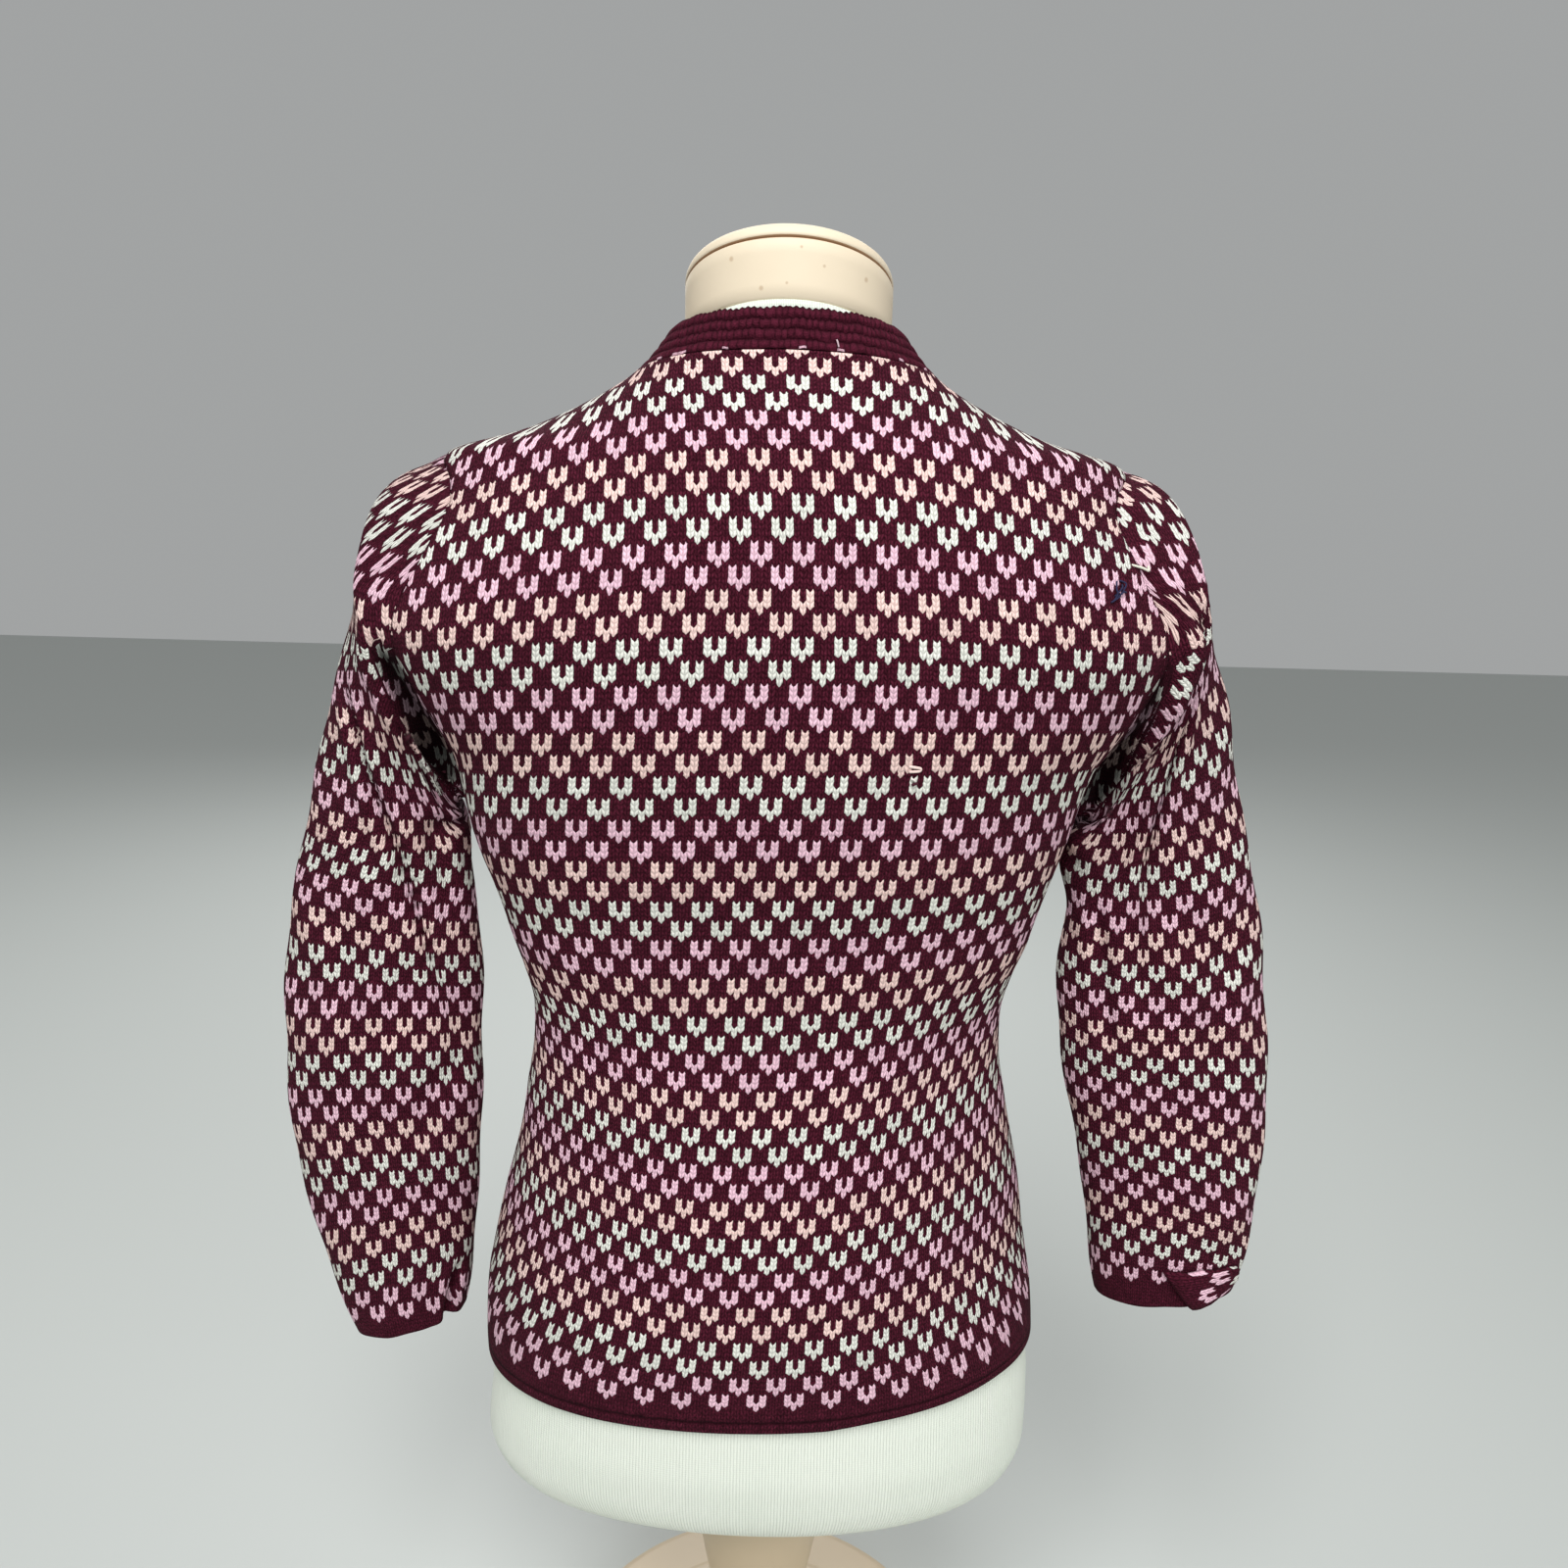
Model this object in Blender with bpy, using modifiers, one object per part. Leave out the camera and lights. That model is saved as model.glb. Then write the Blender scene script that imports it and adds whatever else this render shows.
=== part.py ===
"""Long-sleeved knitted cardigan worn on a limbless dress form.

Metres, +Z up. The origin is the centre of the stand's underside. The garment's front
faces -Y, its back faces +Y, and the wearer's left side is +X.
"""
import math

import bmesh
import bpy
import numpy as np
from mathutils import Matrix, Vector

# ------------------------------------------------------------------ driving dimensions
WALL = 0.0021              # thickness of the knitted fabric
SEAM_GAP = 0.0003          # gap between neighbouring pieces
ARMHOLE_GAP = 0.0005       # the same where a sleeve's facets meet a panel's

HEM_HEIGHT = 0.3425        # lower edge of the body, on the centre line
HEM_LEAN = 0.045           # how fast the edge falls towards +X
UNDERARM_HEIGHT = 0.675
SHOULDER_HEIGHT = 0.871    # outer end of the shoulder seam

BODY_ROWS = 12             # panel rows from the hem to the underarm
ARMHOLE_ROWS = 12          # panel rows beside the armhole
NECKLINE_COLUMNS = 6       # panel columns that end on the neckline, in half a panel
SHOULDER_COLUMNS = 6       # panel columns that end on the shoulder seam

BAND_WIDTH = 0.026         # button bands
BAND_LAP = 0.003           # how far the upper band lies over its own front

BUTTON_COUNT = 8
BUTTON_RADIUS = 0.0062
BUTTON_THICKNESS = 0.0030
BUTTON_ROUNDING = 0.0009   # of its edges
BUTTON_SIDES = 16
BUTTON_LIFT = 0.0003       # shank length, clear of the band's facets
FIRST_BUTTON_HEIGHT = 0.350
LAST_BUTTON_HEIGHT = 0.862

FORM_RING_SIDES = 30
FORM_BOTTOM = 0.243
FORM_RING_HEIGHTS = (
    0.243, 0.248, 0.259, 0.278, 0.304, 0.335, 0.380, 0.410, 0.438, 0.466, 0.494, 0.522, 0.550,
    0.578, 0.606, 0.634, 0.662, 0.690, 0.718, 0.746, 0.774, 0.802, 0.830, 0.845, 0.858, 0.866,
    0.871, 0.878, 0.885, 0.892, 0.899, 0.9065, 0.914, 0.922, 0.930, 0.945, 0.990)
NECK_RADIUS = 0.0547
NECK_CUT_TILT = math.radians(18)   # the neck's cut falls from back to front
NECK_CUT_HEIGHT = 0.9275           # of the cut's centre, where the jersey cover ends
NECK_BLANK = (0.88, 1.02)          # lower and upper end of the tube it is cut from
CAP_HEIGHT = 0.0285                # plastic neck piece, along the vertical
NECK_SIDES = 32
LID_THICKNESS = 0.0085
LID_ROUNDING = 0.0060              # of the lid's upper edge

POST_TOP_RADIUS = 0.0460
POST_WAIST_RADIUS = 0.0210
BASE_RADIUS = 0.146
BASE_HEIGHT = 0.036

# Horizontal sections of the dressed body, the fabric's outer face. half_width is the
# fabric's own half width and form_half_width the form's, back and front are the extreme
# Y values, middle is the Y of the widest point, power the roundness of the outline and
# clearance the room between the fabric's inner face and the form.
SECTION_NAMES = ("height", "half_width", "form_half_width", "middle", "back", "front",
                 "power", "clearance")
SECTIONS = (
    (0.243, 0.1360, 0.1360, 0.007, 0.077, -0.071, 2.2, 0.0013),
    (0.248, 0.1550, 0.1550, 0.008, 0.090, -0.083, 2.2, 0.0013),
    (0.259, 0.1660, 0.1660, 0.009, 0.098, -0.092, 2.2, 0.0013),
    (0.278, 0.1710, 0.1710, 0.010, 0.103, -0.098, 2.2, 0.0013),
    (0.304, 0.1715, 0.1715, 0.011, 0.106, -0.100, 2.2, 0.0013),
    (0.335, 0.1710, 0.1705, 0.012, 0.106, -0.099, 2.2, 0.0013),
    (0.380, 0.1695, 0.1685, 0.011, 0.107, -0.098, 2.2, 0.0013),
    (0.440, 0.1620, 0.1580, 0.008, 0.097, -0.094, 2.2, 0.0013),
    (0.500, 0.1520, 0.1460, 0.004, 0.083, -0.089, 2.2, 0.0020),
    (0.555, 0.1480, 0.1400, 0.000, 0.074, -0.087, 2.2, 0.0022),
    (0.610, 0.1540, 0.1460, -0.002, 0.079, -0.094, 2.2, 0.0020),
    (0.665, 0.1690, 0.1600, -0.002, 0.091, -0.112, 2.2, 0.0015),
    (0.705, 0.1800, 0.1700, -0.002, 0.098, -0.122, 2.2, 0.0015),
    (0.745, 0.2110, 0.1750, -0.001, 0.102, -0.121, 2.2, 0.0018),
    (0.781, 0.2340, 0.1780, 0.000, 0.104, -0.111, 2.2, 0.0020),
    (0.816, 0.2190, 0.1800, 0.000, 0.102, -0.098, 2.1, 0.0022),
    (0.845, 0.1960, 0.1810, 0.000, 0.097, -0.086, 1.9, 0.0032),
    (0.871, 0.1830, 0.1790, 0.000, 0.088, -0.075, 1.7, 0.0044),
    (0.885, 0.1390, 0.1390, 0.000, 0.081, -0.068, 1.7, 0.0038),
    (0.899, 0.1070, 0.1070, 0.000, 0.072, -0.063, 1.8, 0.0034),
    (0.914, 0.0820, 0.0820, 0.000, 0.063, -0.060, 1.9, 0.0026),
    (0.930, 0.0670, 0.0670, 0.000, 0.0590, -0.0590, 2.0, 0.0018),
    (0.945, 0.0582, 0.0582, 0.000, 0.0582, -0.0582, 2.0, 0.0015),
    (0.990, 0.0582, 0.0582, 0.000, 0.0582, -0.0582, 2.0, 0.0014),
)

# The armhole edge of the back and of the front, as the angle from the centre back.
ARMHOLE_NAMES = ("height", "back_turn", "front_turn")
ARMHOLE = (
    (0.675, 90.0, 90.0),
    (0.700, 84.0, 97.0),
    (0.740, 77.0, 103.0),
    (0.781, 73.5, 106.5),
    (0.816, 72.5, 108.0),
    (0.839, 74.5, 106.0),
    (0.858, 80.0, 100.0),
    (0.871, 90.0, 90.0),
)

# The neckline seam and the neckband's upper edge, by the angle from the centre back.
NECKLINE_NAMES = ("turn", "seam_height", "rim_height")
NECKLINE = (
    (0.0, 0.9216, 0.9410),
    (35.0, 0.9210, 0.9405),
    (65.0, 0.9185, 0.9385),
    (90.0, 0.9140, 0.9350),
    (110.0, 0.9040, 0.9255),
    (135.0, 0.8860, 0.9080),
    (160.0, 0.8640, 0.8850),
    (180.0, 0.8560, 0.8765),
)

# Up to this share of the armhole's height the sleeve turns back sharply from the panels, so
# its edge is square to itself. Above, over the fading share, it lines up with the panels.
FOLD_TOP = 0.15
FOLD_FADE = 0.40

# Rings of a sleeve below the armhole: the outline's inner and outer point, how far the
# ring bows outwards between them, its half thickness, the Y of its middle and how far its
# armpit side is pinched in.
SLEEVE_NAMES = ("inner_x", "inner_z", "outer_x", "outer_z", "bow", "half_thickness", "middle",
                "pinch")
LEFT_SLEEVE = (
    (0.1790, 0.6775, 0.2040, 0.8620, 0.024, 0.0590, -0.001, 0.62),
    (0.1830, 0.6770, 0.2160, 0.8500, 0.019, 0.0530, -0.002, 0.52),
    (0.1860, 0.6740, 0.2275, 0.8200, 0.014, 0.0460, -0.003, 0.42),
    (0.1870, 0.6670, 0.2425, 0.7750, 0.008, 0.0400, -0.004, 0.32),
    (0.1860, 0.6540, 0.2580, 0.7280, 0.003, 0.0355, -0.006, 0.22),
    (0.1830, 0.6350, 0.2710, 0.6820, 0.000, 0.0320, -0.007, 0.12),
    (0.1795, 0.6050, 0.2850, 0.6320, 0.000, 0.0300, -0.008, 0.05),
    (0.1775, 0.5670, 0.2940, 0.5820, 0.000, 0.0290, -0.008, 0.00),
    (0.1785, 0.5230, 0.2995, 0.5330, 0.000, 0.0290, -0.008, 0.00),
    (0.1815, 0.4740, 0.3005, 0.4800, 0.000, 0.0290, -0.008, 0.00),
    (0.1845, 0.4260, 0.2955, 0.4260, 0.000, 0.0285, -0.008, 0.00),
    (0.1890, 0.3760, 0.2850, 0.3720, 0.000, 0.0275, -0.008, 0.00),
    (0.1970, 0.3340, 0.2670, 0.3180, 0.000, 0.0265, -0.008, 0.00),
)
RIGHT_SLEEVE = (
    (0.1790, 0.6775, 0.2030, 0.8620, 0.024, 0.0590, -0.001, 0.62),
    (0.1830, 0.6770, 0.2150, 0.8490, 0.019, 0.0530, -0.002, 0.52),
    (0.1860, 0.6740, 0.2260, 0.8230, 0.014, 0.0460, -0.003, 0.42),
    (0.1860, 0.6660, 0.2405, 0.7830, 0.008, 0.0400, -0.004, 0.32),
    (0.1840, 0.6520, 0.2565, 0.7410, 0.003, 0.0355, -0.006, 0.22),
    (0.1800, 0.6320, 0.2690, 0.6950, 0.000, 0.0320, -0.007, 0.12),
    (0.1755, 0.6020, 0.2830, 0.6450, 0.000, 0.0300, -0.008, 0.05),
    (0.1735, 0.5680, 0.2955, 0.5950, 0.000, 0.0290, -0.008, 0.00),
    (0.1785, 0.5290, 0.3050, 0.5380, 0.000, 0.0290, -0.008, 0.00),
    (0.1895, 0.4840, 0.3105, 0.4830, 0.000, 0.0290, -0.008, 0.00),
    (0.1995, 0.4380, 0.3120, 0.4300, 0.000, 0.0285, -0.008, 0.00),
    (0.2070, 0.3950, 0.3095, 0.3980, 0.000, 0.0275, -0.008, 0.00),
    (0.2160, 0.3570, 0.3040, 0.3670, 0.000, 0.0265, -0.008, 0.00),
)

KNIT = ("burgundy_knit", (0.085, 0.008, 0.026), 0.92)
JERSEY = ("white_jersey", (0.80, 0.81, 0.77), 0.90)
CREAM_PLASTIC = ("cream_plastic", (0.84, 0.70, 0.52), 0.42)
BEIGE_PLASTIC = ("beige_plastic", (0.62, 0.45, 0.29), 0.40)
BUTTON_PLASTIC = ("burgundy_button", (0.060, 0.006, 0.018), 0.30)


# ------------------------------------------------------------------ tables and surfaces
def column(table, names, name):
    """One named column of a table."""
    place = names.index(name)
    return np.array([row[place] for row in table])


def smooth(knots, values, at):
    """Values at any place on a smooth curve through the knots that never overshoots."""
    knots, values, at = (np.asarray(item, dtype=float) for item in (knots, values, at))
    steps = np.diff(knots)
    rises = np.diff(values) / steps
    slopes = np.zeros_like(values)
    same_way = rises[:-1] * rises[1:] > 0
    before, after = rises[:-1][same_way], rises[1:][same_way]
    slopes[1:-1][same_way] = 2 * before * after / (before + after)
    slopes[0], slopes[-1] = rises[0], rises[-1]
    cell = np.clip(np.searchsorted(knots, at, side="right") - 1, 0, len(steps) - 1)
    width = steps[cell]
    part = np.clip((at - knots[cell]) / width, 0.0, 1.0)
    keep = (1 + 2 * part) * (1 - part) ** 2
    return (keep * values[cell] + (1 - keep) * values[cell + 1]
            + part * (1 - part) ** 2 * width * slopes[cell]
            - part ** 2 * (1 - part) * width * slopes[cell + 1])


def unit(vectors):
    """The same vectors at length one."""
    return vectors / np.linalg.norm(vectors, axis=-1, keepdims=True)


def section_value(name, height):
    """A column of the body's sections at any height."""
    heights = column(SECTIONS, SECTION_NAMES, "height")
    return smooth(heights, column(SECTIONS, SECTION_NAMES, name), height)


def body_point(turn, height, half_column="half_width"):
    """Point of the body's outer surface: turn is 0 at the centre back, 90 at +X."""
    turn, height = np.broadcast_arrays(np.asarray(turn, float), np.asarray(height, float))
    side = np.sin(np.radians(turn))
    rear = np.cos(np.radians(turn))
    half = section_value(half_column, height)
    middle = section_value("middle", height)
    back = section_value("back", height) - middle
    front = middle - section_value("front", height)
    depth = np.where(rear >= 0, back, front)
    power = section_value("power", height)
    reach = ((np.abs(side) / half) ** power + (np.abs(rear) / depth) ** power) ** (-1 / power)
    return np.stack((reach * side, middle + reach * rear, height), axis=-1)


def body_normal(turn, height, half_column="half_width"):
    """Outward unit normal of the body's outer surface."""
    small_turn, small_height = 0.8, 0.0008
    around = (body_point(turn + small_turn, height, half_column)
              - body_point(turn - small_turn, height, half_column))
    upward = (body_point(turn, height + small_height, half_column)
              - body_point(turn, height - small_height, half_column))
    return unit(np.cross(upward, around))


def arc_table(height, steps=121):
    """Turn angles from the centre back to the centre front and the arc length to each."""
    turns = np.linspace(0.0, 180.0, steps)
    points = body_point(turns, np.full(steps, height))
    lengths = np.concatenate(([0.0], np.cumsum(np.linalg.norm(np.diff(points, axis=0), axis=1))))
    return turns, lengths


def arc_to(turn, height):
    """Arc length from the centre back round to a turn angle."""
    turns, lengths = arc_table(height)
    return float(np.interp(turn, turns, lengths))


def turn_after(arc, height):
    """Turn angle at an arc length from the centre back."""
    turns, lengths = arc_table(height)
    return float(np.interp(arc, lengths, turns))


# ------------------------------------------------------------------ scene helpers
def clear_scene():
    """Remove every object."""
    for thing in list(bpy.data.objects):
        bpy.data.objects.remove(thing, do_unlink=True)


def new_collection(name):
    """A collection linked to the scene."""
    group = bpy.data.collections.new(name)
    bpy.context.scene.collection.children.link(group)
    return group


def add_material(thing, look):
    """Give an object its own Principled material."""
    name, colour, roughness = look
    material = bpy.data.materials.new(f"{thing.name}_{name}")
    material.use_nodes = True
    shader = material.node_tree.nodes["Principled BSDF"]
    shader.inputs["Base Color"].default_value = (*colour, 1.0)
    shader.inputs["Roughness"].default_value = roughness
    shader.inputs["Metallic"].default_value = 0.0
    thing.data.materials.append(material)


def add_object(name, mesh, group, look):
    """Link a mesh as a named object with its material."""
    thing = bpy.data.objects.new(name, mesh)
    group.objects.link(thing)
    add_material(thing, look)
    return thing


def wall_mesh(name, outer, inner, closed=False):
    """Closed wall between two matching grids of points, indexed [row][column].

    With closed set, the last column joins the first, as on a sleeve.
    """
    rows, columns = outer.shape[:2]
    mesh = bpy.data.meshes.new(name)
    form = bmesh.new()
    sheets = []
    for grid in (outer, inner):
        sheets.append([[form.verts.new(point) for point in line] for line in grid])
    outside, inside = sheets
    spans = columns if closed else columns - 1
    for row in range(rows - 1):
        for place in range(spans):
            beside = (place + 1) % columns
            form.faces.new((outside[row][place], outside[row][beside],
                            outside[row + 1][beside], outside[row + 1][place]))
            form.faces.new((inside[row][place], inside[row + 1][place],
                            inside[row + 1][beside], inside[row][beside]))
    for place in range(spans):
        beside = (place + 1) % columns
        form.faces.new((outside[0][place], inside[0][place],
                        inside[0][beside], outside[0][beside]))
        form.faces.new((outside[-1][place], outside[-1][beside],
                        inside[-1][beside], inside[-1][place]))
    if not closed:
        for row in range(rows - 1):
            form.faces.new((outside[row][0], outside[row + 1][0],
                            inside[row + 1][0], inside[row][0]))
            form.faces.new((outside[row][-1], inside[row][-1],
                            inside[row + 1][-1], outside[row + 1][-1]))
    bmesh.ops.recalc_face_normals(form, faces=form.faces)
    form.to_mesh(mesh)
    form.free()
    mesh.shade_smooth()
    mesh.set_sharp_from_angle(angle=math.radians(50))
    return mesh


def ring_mesh(name, rings):
    """Closed solid through rings of points, with flat ends."""
    mesh = bpy.data.meshes.new(name)
    form = bmesh.new()
    loops = [[form.verts.new(point) for point in ring] for ring in rings]
    sides = len(loops[0])
    for lower, upper in zip(loops[:-1], loops[1:]):
        for place in range(sides):
            beside = (place + 1) % sides
            form.faces.new((lower[place], lower[beside], upper[beside], upper[place]))
    form.faces.new(loops[0])
    form.faces.new(loops[-1])
    bmesh.ops.recalc_face_normals(form, faces=form.faces)
    form.to_mesh(mesh)
    form.free()
    mesh.shade_smooth()
    mesh.set_sharp_from_angle(angle=math.radians(40))
    return mesh


# ------------------------------------------------------------------ body panels
def armhole_shares():
    """Shares of the armhole's height at the panel rows, closer together at both ends."""
    even = np.linspace(0.0, 1.0, ARMHOLE_ROWS + 1)
    return (even + (1 - np.cos(math.pi * even)) / 2) / 2


def edge_heights():
    """Heights of the panel rows at the side seam and up the armhole."""
    lower = np.linspace(HEM_HEIGHT, UNDERARM_HEIGHT, BODY_ROWS + 1)
    rise = SHOULDER_HEIGHT - UNDERARM_HEIGHT
    return np.concatenate((lower, UNDERARM_HEIGHT + rise * armhole_shares()[1:]))


def edge_turn(side, height):
    """Turn angle of a panel's side edge: the side seam, then the armhole."""
    if height <= UNDERARM_HEIGHT:
        return 90.0
    heights = column(ARMHOLE, ARMHOLE_NAMES, "height")
    return float(smooth(heights, column(ARMHOLE, ARMHOLE_NAMES, side + "_turn"), height))


def neckline_height(turn, name="seam_height"):
    """Height of the neckline seam, or of the neckband's rim, at a turn angle."""
    turns = column(NECKLINE, NECKLINE_NAMES, "turn")
    return smooth(turns, column(NECKLINE, NECKLINE_NAMES, name), turn)


def arc_from_centre(side, turn, height):
    """Arc length of a turn angle from the centre line of the back or of the front."""
    arc = arc_to(turn, height)
    return arc if side == "back" else arc_to(180.0, height) - arc


def turn_from_centre(side, arc, height):
    """Turn angle at an arc length from the centre line of the back or of the front."""
    if side == "back":
        return turn_after(arc, height)
    return turn_after(arc_to(180.0, height) - arc, height)


def panel_top(side, arc):
    """Height where a panel's column ends: on the neckline or on the shoulder seam."""
    neck_side = float(neckline_height(90.0))
    seam = np.linspace(SHOULDER_HEIGHT, neck_side, 41)
    seam_arcs = np.array([arc_from_centre(side, 90.0, height) for height in seam])
    if arc >= seam_arcs[-1]:
        return float(np.interp(arc, seam_arcs[::-1], seam[::-1]))
    lowest = float(neckline_height(180.0)) - 0.006
    heights = np.linspace(lowest, neck_side + 0.02, 121)
    turns = np.array([turn_from_centre(side, arc, height) for height in heights])
    return float(np.interp(0.0, heights - neckline_height(turns), heights))


def panel_grid(side, start_arc):
    """Turn and height grids of a half panel, from its centre edge out to its side."""
    edges = edge_heights()
    trim = SEAM_GAP / 2
    reach = np.array([arc_from_centre(side, edge_turn(side, height), height) for height in edges])
    reach -= trim
    corner = arc_from_centre(side, 90.0, float(neckline_height(90.0)))
    corner_share = (corner - start_arc) / (reach[-1] - start_arc)
    share = np.concatenate((np.linspace(0.0, corner_share, NECKLINE_COLUMNS + 1),
                            np.linspace(corner_share, 1.0, SHOULDER_COLUMNS + 1)[1:]))
    tops = np.array([panel_top(side, arc) for arc in start_arc + share * (reach[-1] - start_arc)])
    rise = (edges - HEM_HEIGHT) / (SHOULDER_HEIGHT - HEM_HEIGHT)
    turns = np.zeros((len(edges), len(share)))
    heights = HEM_HEIGHT + rise[:, None] * (tops - trim - HEM_HEIGHT)
    for row, width in enumerate(reach):
        for place, arc in enumerate(start_arc + share * (width - start_arc)):
            turns[row, place] = turn_from_centre(side, arc, heights[row, place])
    return turns, heights


def leaned(turns, heights):
    """The same heights with the lean of the hem, which fades out at the underarm."""
    across = body_point(turns, heights)[..., 0]
    fade = np.clip((UNDERARM_HEIGHT - heights) / (UNDERARM_HEIGHT - HEM_HEIGHT), 0.0, 1.0)
    return heights - HEM_LEAN * across * fade


def faces_of(turns, heights, lift=0.0):
    """Outer and inner faces of a wall on the body's surface, moved out by lift."""
    levels = leaned(turns, heights)
    points = body_point(turns, levels)
    normals = body_normal(turns, levels)
    return points + normals * lift, points + normals * (lift - WALL)


def mirrored(grid):
    """The same grid on the -X side."""
    return grid * np.array((-1.0, 1.0, 1.0))


def build_back(group, grid):
    """The back, one piece across the centre line."""
    turns, heights = grid
    across = np.concatenate((-turns[:, :0:-1], turns), axis=1)
    levels = np.concatenate((heights[:, :0:-1], heights), axis=1)
    add_object("back", wall_mesh("back", *faces_of(across, levels)), group, KNIT)


def build_fronts(group, grid):
    """The two fronts."""
    turns, heights = grid
    for name, across in (("left_front", turns), ("right_front", -turns)):
        add_object(name, wall_mesh(name, *faces_of(across, heights)), group, KNIT)


# ------------------------------------------------------------------ sleeves
def armhole_loop(back_half, front_half):
    """Outer and inner points round an armhole, from the underarm up the back edge.

    The loop lies a gap outside the panels' edges.
    """
    loops = []
    for back, front in zip(back_half, front_half):
        rising = []
        for panel in (back, front):
            edge = panel[BODY_ROWS:, -1]
            along = unit(np.gradient(edge, axis=0))
            outward = edge - panel[BODY_ROWS:, -2]
            outward = unit(outward - along * (outward * along).sum(axis=-1, keepdims=True))
            rising.append(edge + outward * ARMHOLE_GAP)
        up_back, up_front = rising
        underarm = (up_back[:1] + up_front[:1]) / 2 + np.array((ARMHOLE_GAP, 0.0, ARMHOLE_GAP))
        shoulder = (up_back[-1:] + up_front[-1:]) / 2
        loops.append(np.concatenate((underarm, up_back[1:-1], shoulder, up_front[-2:0:-1])))
    return loops


def sleeve_rings(table):
    """Outer points of the rings below the armhole, each from its inner point round the back."""
    rising = np.arccos(1 - 2 * armhole_shares())
    angles = np.concatenate((rising, 2 * math.pi - rising[-2:0:-1]))
    pinch_centre, pinch_spread = math.radians(35), math.radians(35)
    folded = np.minimum(angles, 2 * math.pi - angles)
    dent = np.exp(-((folded - pinch_centre) / pinch_spread) ** 2)
    rings = []
    for row in table:
        inner_x, inner_z, outer_x, outer_z, bow, half_thickness, middle, pinch = row
        swing = (1 - np.cos(angles)) / 2
        across_x = inner_x + (outer_x - inner_x) * swing + bow * np.sin(angles) ** 2
        across_z = inner_z + (outer_z - inner_z) * swing
        bulge = half_thickness * np.sin(angles) * (1 - pinch * dent)
        rings.append(np.stack((across_x, middle + bulge, across_z), axis=-1))
    return np.array(rings)


def grid_normals(grid):
    """Unit normals of a ring grid, pointing out of the tube."""
    around = np.roll(grid, -1, axis=1) - np.roll(grid, 1, axis=1)
    along = np.gradient(grid, axis=0)
    return unit(np.cross(around, along))


def build_sleeve(group, name, table, loops, side):
    """One set-in sleeve hanging from its armhole, open at the cuff."""
    outer_loop, inner_loop = loops
    rings = sleeve_rings(table)
    outer = np.concatenate((outer_loop[None], rings))
    normals = grid_normals(outer)
    inner = outer - normals * WALL
    height = (outer_loop[:, 2:] - UNDERARM_HEIGHT) / (SHOULDER_HEIGHT - UNDERARM_HEIGHT)
    along_panel = np.clip((height - FOLD_TOP) / FOLD_FADE, 0.0, 1.0)
    inner[0] += (inner_loop - inner[0]) * along_panel
    if side < 0:
        outer, inner = mirrored(outer), mirrored(inner)
    add_object(name, wall_mesh(name, outer, inner, closed=True), group, KNIT)


# ------------------------------------------------------------------ neckband and button bands
def build_neckband(group, back_grid, front_grid):
    """The rib band round the neck, open between the button bands.

    Its columns meet those of the panels along the neckline.
    """
    rows = 3
    ends = slice(0, NECKLINE_COLUMNS + 1)
    back_turns, back_tops = (grid[-1, ends] for grid in back_grid)
    front_turns, front_tops = (grid[-1, ends] for grid in front_grid)
    half_turns = np.concatenate((back_turns, front_turns[-2::-1]))
    half_seam = np.concatenate((back_tops, front_tops[-2::-1])) + SEAM_GAP
    turns = np.concatenate((-half_turns[:0:-1], half_turns))
    seam = np.concatenate((half_seam[:0:-1], half_seam))
    rim = neckline_height(np.abs(turns), "rim_height")
    share = np.linspace(0.0, 1.0, rows)[:, None]
    heights = seam + share * (rim - seam)
    turn_grid = np.broadcast_to(turns, heights.shape).copy()
    for row, height in enumerate(heights[:, -1]):
        end_turn = turn_from_centre("front", BAND_WIDTH / 2 + SEAM_GAP, height)
        turn_grid[row, 0], turn_grid[row, -1] = -end_turn, end_turn
    walls = faces_of(turn_grid, heights)
    add_object("neckband", wall_mesh("neckband", *walls), group, KNIT)


def band_walls(front_heights, from_arc, to_arc, lift):
    """Walls of a button band: arcs are measured from the centre front towards +X.

    The rows are those of the front's own centre edge, and go on up the neckband.
    """
    columns = 3
    top = float(neckline_height(180.0, "rim_height"))
    above = np.linspace(front_heights[-1], top, 3)[1:]
    levels = np.concatenate((front_heights, above))
    arcs = np.linspace(from_arc, to_arc, columns)
    turns = np.zeros((len(levels), columns))
    for row, height in enumerate(levels):
        for place, arc in enumerate(arcs):
            turn = turn_from_centre("front", abs(arc), height)
            turns[row, place] = turn if arc >= 0 else 360.0 - turn
    return faces_of(turns, levels[:, None] * np.ones(columns), lift)


def build_bands(group, front_heights):
    """The under band on the wearer's left front and the upper band of the right front."""
    half = BAND_WIDTH / 2
    under = band_walls(front_heights, -half, half, 0.0)
    add_object("left_button_band", wall_mesh("left_button_band", *under), group, KNIT)
    upper = band_walls(front_heights, -half - BAND_LAP, half, WALL + SEAM_GAP)
    add_object("right_button_band", wall_mesh("right_button_band", *upper), group, KNIT)


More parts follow.
